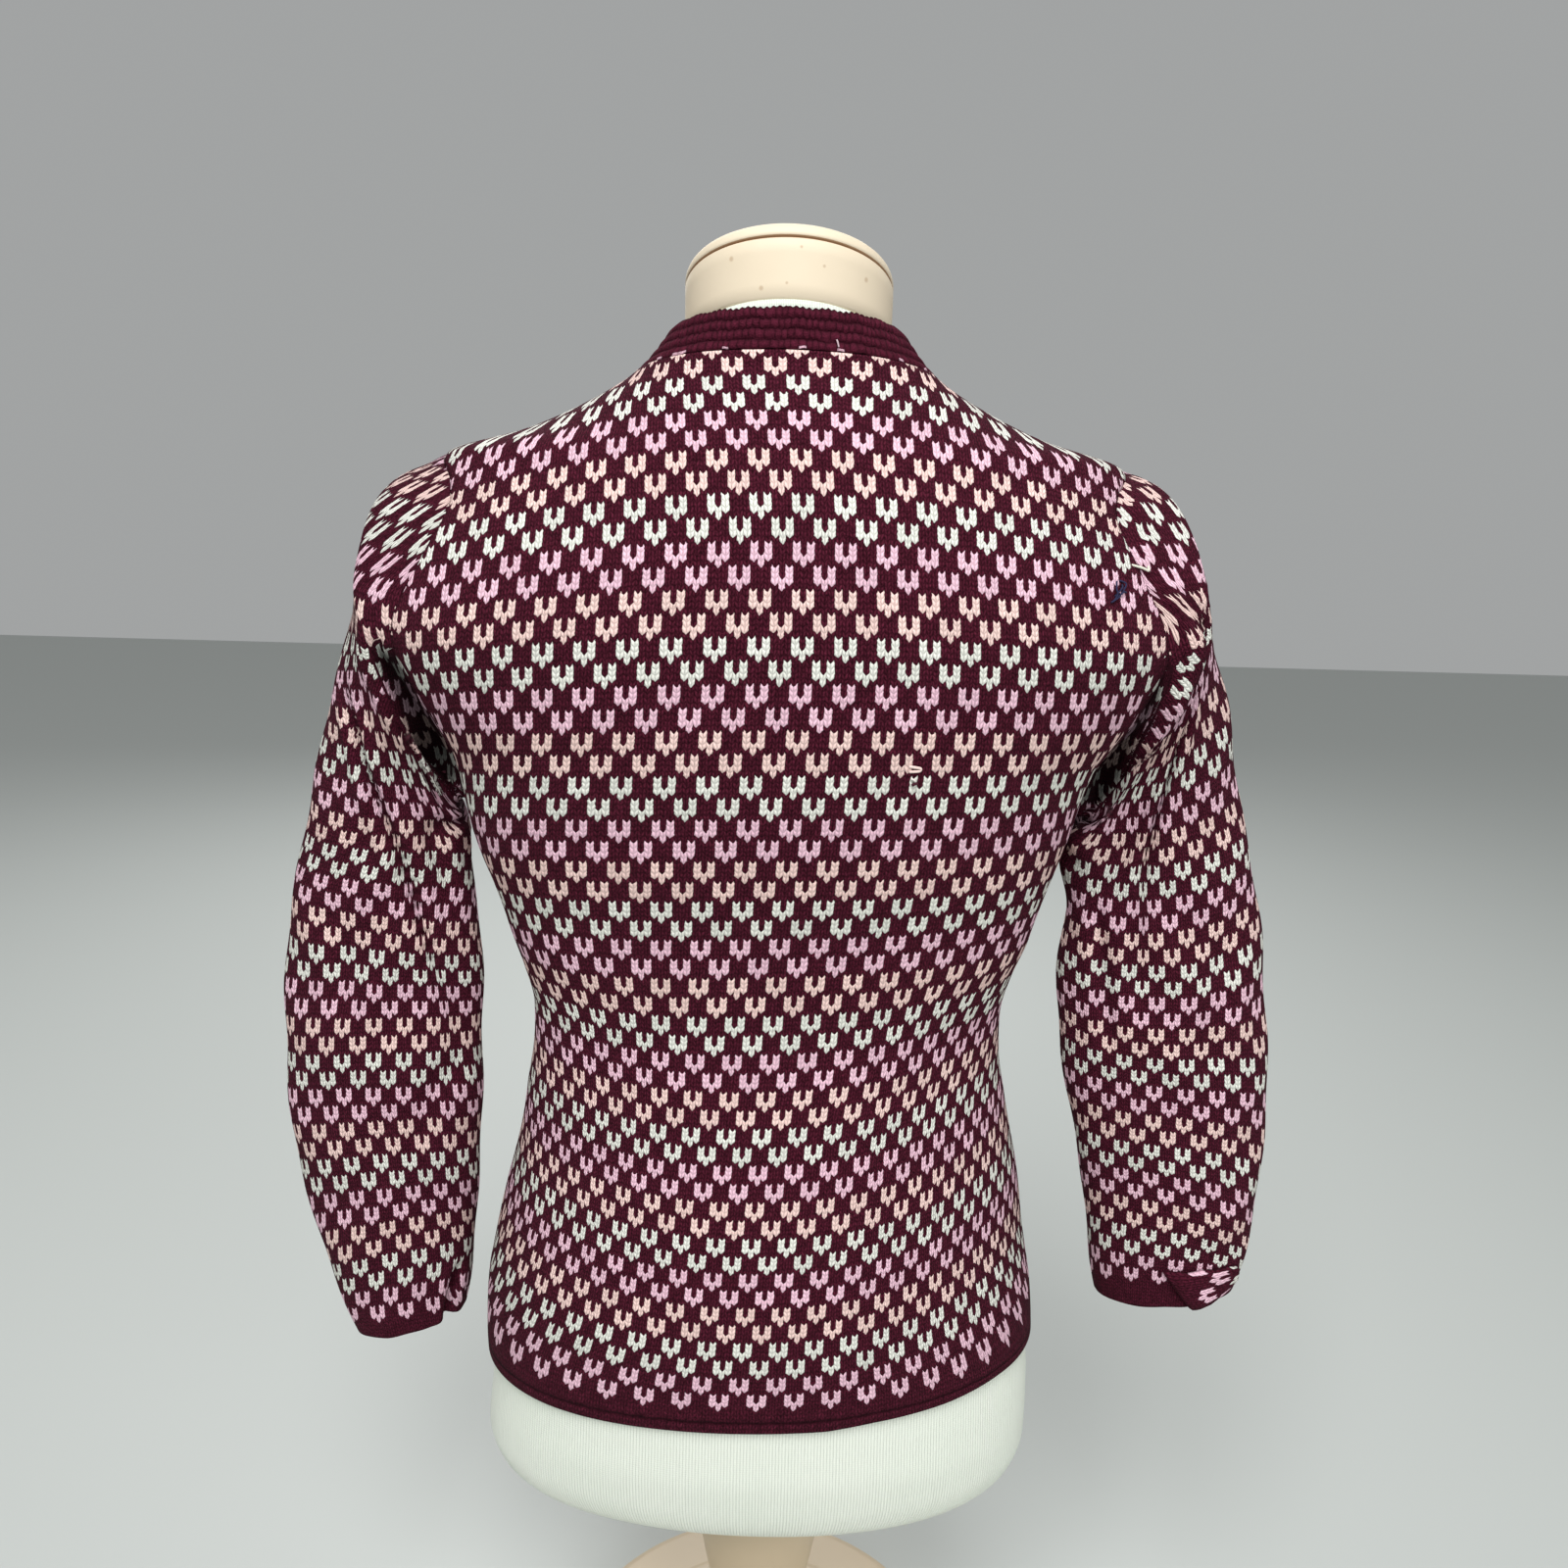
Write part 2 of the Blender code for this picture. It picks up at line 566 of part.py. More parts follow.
def build_buttons(group):
    """Plain round buttons on the upper band."""
    heights = np.linspace(FIRST_BUTTON_HEIGHT, LAST_BUTTON_HEIGHT, BUTTON_COUNT)
    for number, height in enumerate(heights, start=1):
        normal = Vector(body_normal(180.0, height))
        seat = Vector(body_point(180.0, height)) + normal * (WALL + 2 * SEAM_GAP + BUTTON_LIFT)
        mesh = bpy.data.meshes.new(f"button_{number}")
        form = bmesh.new()
        bmesh.ops.create_cone(form, cap_ends=True, segments=BUTTON_SIDES, radius1=BUTTON_RADIUS,
                              radius2=BUTTON_RADIUS, depth=BUTTON_THICKNESS)
        rims = [edge for edge in form.edges if abs(edge.verts[0].co.z - edge.verts[1].co.z) < 1e-6]
        bmesh.ops.bevel(form, geom=rims, offset=BUTTON_ROUNDING, segments=1,
                        affect="EDGES")
        form.to_mesh(mesh)
        form.free()
        button = add_object(f"button_{number}", mesh, group, BUTTON_PLASTIC)
        button.rotation_euler = normal.to_track_quat("Z", "Y").to_euler()
        button.location = seat + normal * (BUTTON_THICKNESS / 2)


# ------------------------------------------------------------------ dress form and stand
def build_form(group):
    """The jersey-covered torso, cut off along a slanted plane at the neck."""
    turns = np.linspace(0.0, 360.0, FORM_RING_SIDES, endpoint=False)
    rings = []
    for height in FORM_RING_HEIGHTS:
        levels = np.full(FORM_RING_SIDES, height)
        points = body_point(turns, levels, "form_half_width")
        inset = WALL + float(section_value("clearance", height))
        rings.append(points - body_normal(turns, levels, "form_half_width") * inset)
    rings[0][:, 2] = FORM_BOTTOM
    mesh = ring_mesh("form_torso", rings)
    cut_above(mesh, NECK_CUT_HEIGHT)
    add_object("form_torso", mesh, group, JERSEY)


def neck_plane_normal():
    """Upward normal of the neck's slanted cut, which is higher at the back."""
    return Vector((0.0, -math.sin(NECK_CUT_TILT), math.cos(NECK_CUT_TILT)))


def cut_above(mesh, height, keep_above=False):
    """Cut a closed mesh along the neck's slanted plane through the axis at a height."""
    form = bmesh.new()
    form.from_mesh(mesh)
    geometry = form.verts[:] + form.edges[:] + form.faces[:]
    cut = bmesh.ops.bisect_plane(form, geom=geometry, dist=1e-6, plane_co=(0.0, 0.0, height),
                                 plane_no=neck_plane_normal(), clear_outer=not keep_above,
                                 clear_inner=keep_above)
    rim = [item for item in cut["geom_cut"] if isinstance(item, bmesh.types.BMEdge)]
    bmesh.ops.edgeloop_fill(form, edges=rim)
    bmesh.ops.recalc_face_normals(form, faces=form.faces)
    form.to_mesh(mesh)
    form.free()


def build_neck(group):
    """The plastic neck piece and its slanted lid."""
    turns = np.linspace(0.0, 2 * math.pi, NECK_SIDES, endpoint=False)
    outline = np.stack((np.sin(turns), np.cos(turns)), axis=-1) * NECK_RADIUS
    rings = [np.column_stack((outline, np.full(NECK_SIDES, height))) for height in NECK_BLANK]
    mesh = ring_mesh("neck_cap", rings)
    low = NECK_CUT_HEIGHT + SEAM_GAP / math.cos(NECK_CUT_TILT)
    cut_above(mesh, low, keep_above=True)
    cut_above(mesh, NECK_CUT_HEIGHT + CAP_HEIGHT)
    add_object("neck_cap", mesh, group, CREAM_PLASTIC)

    lid = bpy.data.meshes.new("neck_lid")
    form = bmesh.new()
    bmesh.ops.create_cone(form, cap_ends=True, segments=NECK_SIDES, radius1=NECK_RADIUS,
                          radius2=NECK_RADIUS, depth=LID_THICKNESS)
    rims = [edge for edge in form.edges
            if edge.verts[0].co.z > 0 and edge.verts[1].co.z > 0]
    bmesh.ops.bevel(form, geom=rims, offset=LID_ROUNDING, segments=3, profile=0.5,
                    affect="EDGES")
    stretch = Matrix.Diagonal((1.0, 1.0 / math.cos(NECK_CUT_TILT), 1.0, 1.0))
    bmesh.ops.transform(form, matrix=stretch, verts=form.verts)
    form.to_mesh(lid)
    form.free()
    thing = add_object("neck_lid", lid, group, CREAM_PLASTIC)
    thing.rotation_euler = (NECK_CUT_TILT, 0.0, 0.0)
    seat = NECK_CUT_HEIGHT + CAP_HEIGHT + SEAM_GAP / math.cos(NECK_CUT_TILT)
    thing.location = Vector((0.0, 0.0, seat)) + neck_plane_normal() * (LID_THICKNESS / 2)


def turned(name, profile, group, look, sides=32):
    """A turned solid: profile points (radius, height) run from the top down its outside."""
    mesh = bpy.data.meshes.new(name)
    form = bmesh.new()
    line = [form.verts.new((radius, 0.0, height)) for radius, height in profile]
    for upper, lower in zip(line[:-1], line[1:]):
        form.edges.new((upper, lower))
    form.to_mesh(mesh)
    form.free()
    thing = add_object(name, mesh, group, look)
    screw = thing.modifiers.new("turn", "SCREW")
    screw.steps = sides
    screw.render_steps = sides
    screw.use_merge_vertices = True
    screw.merge_threshold = 0.0001
    screw.use_smooth_shade = True
    return thing


def build_stand(group):
    """The flared post under the torso and the round stepped base."""
    top = FORM_BOTTOM - SEAM_GAP
    post_foot = BASE_HEIGHT + SEAM_GAP
    turned("stand_post", (
        (0.0, top), (POST_TOP_RADIUS, top), (0.0425, top - 0.035), (0.0395, top - 0.068),
        (0.0340, top - 0.100), (0.0265, top - 0.135), (POST_WAIST_RADIUS, top - 0.165),
        (0.0225, post_foot + 0.018), (0.0290, post_foot), (0.0, post_foot)),
        group, BEIGE_PLASTIC, 28)
    turned("stand_base", (
        (0.0, BASE_HEIGHT), (0.0420, BASE_HEIGHT), (0.0480, 0.0325), (0.1050, 0.0320),
        (0.1080, 0.0300), (0.1390, 0.0295), (BASE_RADIUS, 0.0245), (BASE_RADIUS, 0.0),
        (0.0, 0.0)), group, BEIGE_PLASTIC, 36)


def main():
    """Model the dressed form."""
    clear_scene()
    group = new_collection("cardigan_on_dress_form")
    back_grid = panel_grid("back", 0.0)
    front_grid = panel_grid("front", BAND_WIDTH / 2 + SEAM_GAP)
    back_half = faces_of(*back_grid)
    front_half = faces_of(*front_grid)
    build_back(group, back_grid)
    build_fronts(group, front_grid)
    loops = armhole_loop(back_half, front_half)
    build_sleeve(group, "left_sleeve", LEFT_SLEEVE, loops, 1)
    build_sleeve(group, "right_sleeve", RIGHT_SLEEVE, loops, -1)
    build_neckband(group, back_grid, front_grid)
    build_bands(group, front_grid[1][:, 0])
    build_buttons(group)
    build_form(group)
    build_neck(group)
    build_stand(group)


main()
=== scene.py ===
"""Looks of the knitted cardigan on its dress form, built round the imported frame.

Metres, +Z up. The garment's back faces +Y, the side the camera sees, and the wearer's left
side is +X.
"""
import math

import bpy
import bmesh
import numpy as np
from mathutils import Matrix, Vector


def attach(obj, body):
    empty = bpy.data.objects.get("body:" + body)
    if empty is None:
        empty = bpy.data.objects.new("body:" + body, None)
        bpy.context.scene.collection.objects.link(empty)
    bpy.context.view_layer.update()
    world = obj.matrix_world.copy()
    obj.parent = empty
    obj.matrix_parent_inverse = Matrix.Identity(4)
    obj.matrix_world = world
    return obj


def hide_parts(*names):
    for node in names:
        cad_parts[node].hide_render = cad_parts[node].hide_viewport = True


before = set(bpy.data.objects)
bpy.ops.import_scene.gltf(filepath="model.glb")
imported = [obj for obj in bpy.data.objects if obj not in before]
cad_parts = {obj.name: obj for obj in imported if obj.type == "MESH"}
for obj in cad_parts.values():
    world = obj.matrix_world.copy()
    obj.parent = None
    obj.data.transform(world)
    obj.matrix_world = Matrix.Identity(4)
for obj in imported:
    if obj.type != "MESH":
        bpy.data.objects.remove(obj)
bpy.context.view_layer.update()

# ---------------------------------------------------------------- dimensions shared with the solids
WALL = 0.0021              # thickness of the knitted fabric
SEAM_GAP = 0.0003          # gap between neighbouring pieces
ARMHOLE_GAP = 0.0005

HEM_HEIGHT = 0.3425        # lower edge of the body, on the centre line
HEM_LEAN = 0.045           # how fast the edge falls towards +X
UNDERARM_HEIGHT = 0.675
SHOULDER_HEIGHT = 0.871    # outer end of the shoulder seam

BAND_WIDTH = 0.026
BAND_LAP = 0.003
BUTTON_COUNT = 8
BUTTON_RADIUS = 0.0062
BUTTON_THICKNESS = 0.0030
BUTTON_LIFT = 0.0003
FIRST_BUTTON_HEIGHT = 0.350
LAST_BUTTON_HEIGHT = 0.862

FORM_BOTTOM = 0.243
NECK_RADIUS = 0.0547
NECK_CUT_TILT = math.radians(18)
NECK_CUT_HEIGHT = 0.9275
CAP_HEIGHT = 0.0285
LID_THICKNESS = 0.0085

POST_TOP_RADIUS = 0.0460
POST_WAIST_RADIUS = 0.0210
BASE_RADIUS = 0.146
BASE_HEIGHT = 0.036

# Horizontal sections of the dressed body: height, half width of the fabric's outer face and
# of the form, Y of the middle, the back and the front, power of the outline, and clearance
# between the form and the fabric.
SECTIONS = (
    (0.243, 0.136, 0.136, 0.007, 0.077, -0.071, 2.2, 0.0013),
    (0.248, 0.155, 0.155, 0.008, 0.09, -0.083, 2.2, 0.0013),
    (0.259, 0.166, 0.166, 0.009, 0.098, -0.092, 2.2, 0.0013),
    (0.278, 0.171, 0.171, 0.01, 0.103, -0.098, 2.2, 0.0013),
    (0.304, 0.1715, 0.1715, 0.011, 0.106, -0.1, 2.2, 0.0013),
    (0.335, 0.171, 0.1705, 0.012, 0.106, -0.099, 2.2, 0.0013),
    (0.38, 0.1695, 0.1685, 0.011, 0.107, -0.098, 2.2, 0.0013),
    (0.44, 0.162, 0.158, 0.008, 0.097, -0.094, 2.2, 0.0013),
    (0.5, 0.152, 0.146, 0.004, 0.083, -0.089, 2.2, 0.002),
    (0.555, 0.148, 0.14, 0.0, 0.074, -0.087, 2.2, 0.0022),
    (0.61, 0.154, 0.146, -0.002, 0.079, -0.094, 2.2, 0.002),
    (0.665, 0.169, 0.16, -0.002, 0.091, -0.112, 2.2, 0.0015),
    (0.705, 0.18, 0.17, -0.002, 0.098, -0.122, 2.2, 0.0015),
    (0.745, 0.211, 0.175, -0.001, 0.102, -0.121, 2.2, 0.0018),
    (0.781, 0.234, 0.178, 0.0, 0.104, -0.111, 2.2, 0.002),
    (0.816, 0.219, 0.18, 0.0, 0.102, -0.098, 2.1, 0.0022),
    (0.845, 0.196, 0.181, 0.0, 0.097, -0.086, 1.9, 0.0032),
    (0.871, 0.183, 0.179, 0.0, 0.088, -0.075, 1.7, 0.0044),
    (0.885, 0.139, 0.139, 0.0, 0.081, -0.068, 1.7, 0.0038),
    (0.899, 0.107, 0.107, 0.0, 0.072, -0.063, 1.8, 0.0034),
    (0.914, 0.082, 0.082, 0.0, 0.063, -0.06, 1.9, 0.0026),
    (0.93, 0.067, 0.067, 0.0, 0.059, -0.059, 2.0, 0.0018),
    (0.945, 0.0582, 0.0582, 0.0, 0.0582, -0.0582, 2.0, 0.0015),
    (0.99, 0.0582, 0.0582, 0.0, 0.0582, -0.0582, 2.0, 0.0014),
)

# Height, and how far the body's side at +X and at -X stands out from its section, or is
# drawn in where negative.
SIDE_SHIFT = (
    (0.243, 0.0025, 0.0),
    (0.32, 0.0025, 0.0),
    (0.347, 0.0034, -0.0018),
    (0.367, 0.0032, -0.0028),
    (0.385, 0.0025, -0.004),
    (0.404, 0.0008, -0.0056),
    (0.4225, -0.0003, -0.0064),
    (0.441, -0.0018, -0.0062),
    (0.459, -0.0034, -0.006),
    (0.477, -0.0042, -0.0066),
    (0.504, -0.0044, -0.0085),
    (0.53, -0.0058, -0.0107),
    (0.557, -0.0052, -0.0103),
    (0.581, -0.001, -0.0066),
    (0.606, 0.0036, -0.0012),
    (0.631, 0.0058, 0.0),
    (0.655, 0.007, 0.0),
    (0.68, 0.0062, 0.0),
    (0.735, 0.0, 0.0),
)
FORM_LOW, FORM_HIGH = 0.345, 0.400  # between these the form stops standing out as the cloth does

# Height, and the armhole edge of the back and of the front, as the angle from the centre back.
ARMHOLE = (
    (0.675, 90.0, 90.0),
    (0.7, 84.0, 97.0),
    (0.74, 77.0, 103.0),
    (0.781, 73.5, 106.5),
    (0.816, 72.5, 108.0),
    (0.839, 74.5, 106.0),
    (0.858, 80.0, 100.0),
    (0.871, 90.0, 90.0),
)

# Angle from the centre back, and height of the neckline seam and of the neckband's upper edge.
NECKLINE = (
    (0.0, 0.9216, 0.941),
    (35.0, 0.921, 0.9405),
    (65.0, 0.9185, 0.9385),
    (90.0, 0.914, 0.935),
    (110.0, 0.904, 0.9255),
    (135.0, 0.886, 0.908),
    (160.0, 0.864, 0.885),
    (180.0, 0.856, 0.8765),
)

# Rings of both sleeves below the armhole: how far the ring bows outwards between its inner
# and its outer point, its half thickness, the Y of its middle and how far its armpit side is
# pinched in. Then X and Z of the two points, sleeve by sleeve.
SLEEVE_RINGS = (
    (0.024, 0.059, -0.001, 0.62),
    (0.019, 0.053, -0.002, 0.52),
    (0.014, 0.046, -0.003, 0.42),
    (0.008, 0.04, -0.004, 0.32),
    (0.003, 0.0355, -0.006, 0.22),
    (0, 0.032, -0.007, 0.12),
    (0, 0.03, -0.008, 0.05),
    (0, 0.029, -0.008, 0),
    (0, 0.029, -0.008, 0),
    (0, 0.029, -0.008, 0),
    (0, 0.0285, -0.008, 0),
    (0, 0.0275, -0.008, 0),
    (0, 0.0265, -0.008, 0),
)
LEFT_SLEEVE = (
    (0.179, 0.6775, 0.204, 0.862),
    (0.183, 0.677, 0.216, 0.85),
    (0.186, 0.674, 0.2275, 0.82),
    (0.187, 0.667, 0.2425, 0.775),
    (0.186, 0.654, 0.258, 0.728),
    (0.183, 0.635, 0.271, 0.682),
    (0.1795, 0.605, 0.285, 0.632),
    (0.1775, 0.567, 0.294, 0.582),
    (0.1785, 0.523, 0.2995, 0.533),
    (0.1815, 0.474, 0.3005, 0.48),
    (0.1845, 0.426, 0.2955, 0.426),
    (0.189, 0.376, 0.285, 0.372),
    (0.197, 0.334, 0.267, 0.318),
)
RIGHT_SLEEVE = (
    (0.179, 0.6775, 0.203, 0.862),
    (0.183, 0.677, 0.215, 0.849),
    (0.186, 0.674, 0.226, 0.823),
    (0.186, 0.666, 0.2405, 0.783),
    (0.184, 0.652, 0.2565, 0.741),
    (0.18, 0.632, 0.269, 0.695),
    (0.1755, 0.602, 0.283, 0.645),
    (0.1735, 0.568, 0.2955, 0.595),
    (0.1785, 0.529, 0.305, 0.538),
    (0.1895, 0.484, 0.3105, 0.483),
    (0.1995, 0.438, 0.312, 0.43),
    (0.207, 0.395, 0.3095, 0.398),
    (0.216, 0.357, 0.304, 0.367),
)
FOLD_TOP = 0.15            # share of the armhole's height with a sharp turn at the seam
FOLD_FADE = 0.40
PINCH_TURN = math.radians(35)   # how far round the pinch is deepest, and how far it spreads

# ---------------------------------------------------------------- dimensions of the looks
BODY_ROWS = 120            # mesh rows from the hem to the underarm
ARMHOLE_ROWS = 68          # mesh rows beside the armhole
NECKLINE_COLUMNS = 30      # mesh columns that end on the neckline, in half a panel
SHOULDER_COLUMNS = 36
SLEEVE_ROWS = 270
EDGE_ROLL, BAND_ROLL = 0.0009, 0.0008   # how far the edges of the knitting bulge

STITCHES = 6               # stitches across one repeat of the pattern
ROWS = 4                   # knitted rows in one row of motifs
MOTIF_ROWS = 54            # rows of motifs on the body
MOTIF_PITCH = 0.0108       # height of a row of motifs
REPEAT_WIDTH = 0.0203      # width of one repeat
HEM_TO_MOTIF = 0.0185      # from the hem's edge to the middle of the lowest row of motifs
HEM_SLANT = 0.1            # how far the cloth there hangs out of upright, in radians
HEM_BLEND = 0.030          # over this height the rows stop following the hem
HEM_ROUND = 0.014          # and over this height the edge's drop dies out
FRONT_REPEAT = 0.0195      # width of one repeat on the front half of a sleeve
HEM_GROOVE = -2.3          # row of the groove above the hem's edge, drawn as a band of painted shade with flattened stitches
# How far the hem's edge hangs below its straight line, by the turn from the centre back.
HEM_DROP = ((-180, 0), (-130, 0), (-90, -0.0032), (-68, -0.003), (-55, -0.0006), (-36, 0.001),
            (-22, 0.0034), (0, 0.0032), (30, 0.0026), (60, 0.0026), (90, 0.0016), (130, 0),
            (180, 0))
STITCH_SLANT = 0.62        # how far a stitch's legs rise, in rows

# How the knitting lies on the back. Height on the centre line, row of motifs there, how many
# rows lower the same row lies 150 mm out by the way and by its square, the repeat on the
# centre line, how many repeats fit in 150 mm, and how that changes with the square and the
# cube of the way out.
LAY = (
    (0.34, -1.9, 0.65, -0.35, -0.65, 7.05, -0.08, 0.05),
    (0.36, 0.0, 0.66, -0.6, -0.62, 7.15, -0.08, 0.1),
    (0.4, 3.7, 0.65, -1.3, -0.53, 7.6, -0.08, 0.4),
    (0.45, 9.0, 0.65, -1.75, -0.38, 7.65, -0.15, 1.0),
    (0.5, 14.1, 0.8, -1.35, -0.2, 7.65, -0.22, 1.0),
    (0.55, 19.0, 0.8, -0.6, 0.0, 7.3, -0.22, 0.8),
    (0.6, 23.3, 0.75, 0.5, 0.13, 7.25, -0.15, 0.1),
    (0.66, 28.5, 0.52, 0.75, 0.29, 7.15, -0.1, -0.15),
    (0.72, 33.7, 0.38, 0.6, 0.43, 7.05, -0.12, 0.0),
    (0.78, 38.9, 0.3, 0.7, 0.53, 7.2, -0.18, 0.05),
    (0.83, 43.4, 0.2, 1.05, 0.52, 7.5, -0.18, -0.1),
    (0.87, 47.1, 0.1, 1.8, 0.4, 7.5, -0.05, -0.15),
    (0.912, 51.85, 0.03, 0.95, 0.25, 6.9, 0.2, 0.2),
    (0.945, 55.7, 0.0, 0.6, 0.2, 6.7, 0.2, 0.2),
)
LAY_SPAN = 0.150           # the way out that the table's columns refer to
LAY_LIMIT = 1.35           # beyond this many spans the columns hold their value

# How the knitting lies on each sleeve. Distance from the cuff, row of motifs along the
# middle of the sleeve's back, how many rows higher it is 50 mm towards the outer line by the
# way and by its square, the repeat on the middle line, how many fit in 50 mm, how that
# changes with the square, and how many are hidden in the long crease.
LEFT_LAY = (
    (0.0, -1.6, -0.15, 0.85, -0.6, 2.65, -0.6, 0.0),
    (0.015, -0.25, -0.07, 0.85, -0.6, 2.65, -0.55, 0.0),
    (0.05, 2.62, 0.2, 0.8, -0.36, 2.62, -0.25, 0.0),
    (0.1, 6.96, -0.1, 0.56, -0.22, 2.78, -0.25, 0.0),
    (0.15, 11.26, -0.35, 0.43, -0.32, 2.78, -0.15, 0.0),
    (0.2, 15.7, -0.45, 0.3, -0.6, 2.7, -0.2, 0.25),
    (0.25, 20.2, -0.9, 0.35, -0.76, 2.78, -0.2, 0.45),
    (0.3, 24.9, -1.34, 0.07, -0.78, 2.55, -0.1, 0.6),
    (0.35, 29.9, -1.32, -0.18, -0.4, 2.38, -0.05, 0.7),
    (0.4, 34.65, -0.93, -0.37, -0.47, 1.75, 0.15, 0.9),
    (0.45, 38.64, -0.26, -0.49, -0.84, 1.68, 0.42, 0.3),
    (0.5, 42.1, -0.09, -0.57, -1.52, 2.18, 0.79, 0.0),
    (0.55, 45.5, 0.12, -0.47, -3.1, 2.04, 0.78, 0.0),
    (0.62, 50.4, 0.55, -0.22, -5.4, 1.6, 0.4, 0.0),
)
RIGHT_LAY = (
    (0.0, -2.1, 1.1, 1.4, -0.3, 2.7, -0.45, 0.0),
    (0.015, -0.6, 1.2, 1.35, -0.32, 2.68, -0.4, 0.0),
    (0.05, 3.15, 1.45, 1.05, -0.42, 2.57, -0.2, 0.0),
    (0.1, 8.25, 1.2, 0.55, -0.48, 2.57, -0.2, 0.0),
    (0.15, 13.2, 0.85, 0.15, -0.7, 2.62, -0.17, 0.0),
    (0.2, 18.3, 0.35, -0.25, -0.92, 2.72, -0.13, 0.0),
    (0.25, 23.2, -0.15, -0.5, -1.27, 2.66, -0.06, 0.3),
    (0.3, 27.89, -0.38, -0.38, -1.4, 2.55, -0.08, 0.6),
    (0.35, 32.5, -0.82, -0.2, -1.05, 2.05, -0.04, 0.8),
    (0.4, 36.95, -1.36, 0.02, -1.27, 1.63, 0.22, 1.0),
    (0.45, 41.07, -1.7, 0.19, -2.29, 2.09, 0.5, 1.0),
    (0.5, 45.66, -1.49, 0.3, -4.61, 1.82, 0.4, 0.5),
    (0.55, 50.2, -1.5, 0.19, -6.99, 1.72, 0.22, 0.0),
    (0.62, 56.6, -1.51, 0.05, -10.3, 1.7, 0.05, 0.0),
)
SLEEVE_SPAN = 0.050        # the way out that the sleeves' columns refer to
SLEEVE_LIMIT = 1.4         # spans out where the columns stop changing, below the cap
CAP_LIMIT = 2.0            # and on the cap
CAP_LOW, CAP_HIGH = 0.35, 0.45
# Where the arm's knitting starts to be carried on over a cap, how far its columns of
# stitches then lean to +X, and how many rows of motifs are bunched up on the way.
CARRY_FROM = {1: (0.430, -0.10, 0.6), -1: (0.418, 0.04, 0.9)}
CAP_REPEAT = 0.0215        # width of one repeat on the cap
FEWEST, MOST = 1.95, 3.7   # repeats in one span where the knitting is stretched or gathered
FEWEST_ON_CAP = 1.2        # and on the cap, where the rings cross the knitting aslant
HIDE_WIDTH = 0.0035        # over this way out the hidden repeats vanish into the long crease

# Main creases of each sleeve, as soft curves through a start, a middle and an end, each a
# distance from the cuff and a way out from the middle of the sleeve's back. Then their
# width, how far the middle sinks (or rises, where negative) and how far the shoulders rise.
LEFT_CREASES = (
    (0.475, 0.01, 0.405, -0.056, 0.34, -0.108, 0.0088, 0.015, 0.0016),
    (0.437, 0.034, 0.345, -0.006, 0.215, -0.045, 0.0038, 0.0042, 0.0026),
    (0.404, -0.032, 0.374, -0.058, 0.33, -0.06, 0.0042, 0.0045, 0.002),
    (0.3, 0.03, 0.262, 0.016, 0.215, 0.013, 0.009, 0.0022, 0.0008),
    (0.19, -0.06, 0.16, -0.036, 0.118, -0.03, 0.008, 0.0022, 0.0008),
    (0.04, -0.047, 0.014, -0.036, -0.025, -0.029, 0.0033, 0.0066, 0.001),
    (0.455, 0.245, 0.385, 0.205, 0.3, 0.18, 0.006, 0.007, 0.0016),
    (0.39, 0.262, 0.34, 0.228, 0.285, 0.214, 0.005, 0.0044, 0.0012),
    (0.24, 0.16, 0.2, 0.176, 0.16, 0.178, 0.009, 0.0022, 0.0008),
)
RIGHT_CREASES = (
    (0.452, 0.006, 0.39, -0.052, 0.325, -0.12, 0.0088, 0.015, 0.0016),
    (0.48, 0.052, 0.372, -0.004, 0.262, -0.017, 0.0038, 0.0042, 0.0026),
    (0.275, -0.046, 0.225, -0.04, 0.17, -0.04, 0.0045, 0.0036, 0.0012),
    (0.528, 0.093, 0.52, 0.084, 0.512, 0.074, 0.0045, -0.0026, 0.0),
    (0.509, 0.069, 0.5, 0.062, 0.49, 0.054, 0.0045, -0.0024, 0.0),
    (0.478, 0.044, 0.47, 0.036, 0.46, 0.03, 0.0045, -0.002, 0.0),
    (0.25, 0.04, 0.205, 0.026, 0.15, 0.024, 0.009, 0.0022, 0.0008),
    (0.45, 0.24, 0.38, 0.208, 0.29, 0.184, 0.006, 0.0068, 0.0016),
    (0.385, 0.258, 0.33, 0.232, 0.28, 0.212, 0.005, 0.0042, 0.0012),
    (0.18, 0.17, 0.15, 0.18, 0.105, 0.176, 0.009, 0.0022, 0.0008),
)
LONG_CREASE = 1            # the one that hides some of the pattern
DEEP_FOLD = (0.0015, 0.0085)   # depths at which the armpit fold's painted shade starts and is darkest
FOLD_STITCH, FOLD_ROW = 0.0022, 0.0027   # stitch width and row height seen inside the fold
FOLD_PAINTED_SHADE = 0.84           # how much the painted shade in the folds darkens the wool
SEAM_PAINTED_SHADE = 0.75           # the strip of painted shade beside the armpit folds: how deep a fold it counts as
SEAM_PAINTED_SHADE_WIDTH = 0.0060
SEAM_PAINTED_SHADE_LOW, SEAM_PAINTED_SHADE_HIGH = 0.745, 0.790   # between these heights it ends
CREASE_FADE = 0.22         # share of a crease's length over which each end dies out
SEAM_HOLD = 0.012          # the creases start this far from the armhole seam

# The turned-up corner of the right cuff: distance from the cuff and way out of the upper
# and lower ends of its rolled edge, then of its far edge.
FLAP_CORNERS = ((0.029, -0.011), (-0.001, 0.008), (0.022, 0.040), (0.010, 0.041))
FLAP_LIFT = 0.0070
FLAP_COLUMNS, FLAP_ROWS = 36, 24

# How far each sleeve bulges towards the body under the armpit, how far below the seam, and
# over what length.
ARMPIT_BULGE = {1: (0.0050, 0.030, 0.018), -1: (0.0155, 0.038, 0.025)}
ARMPIT_SPREAD = 0.75       # and how far round the sleeve, in radians

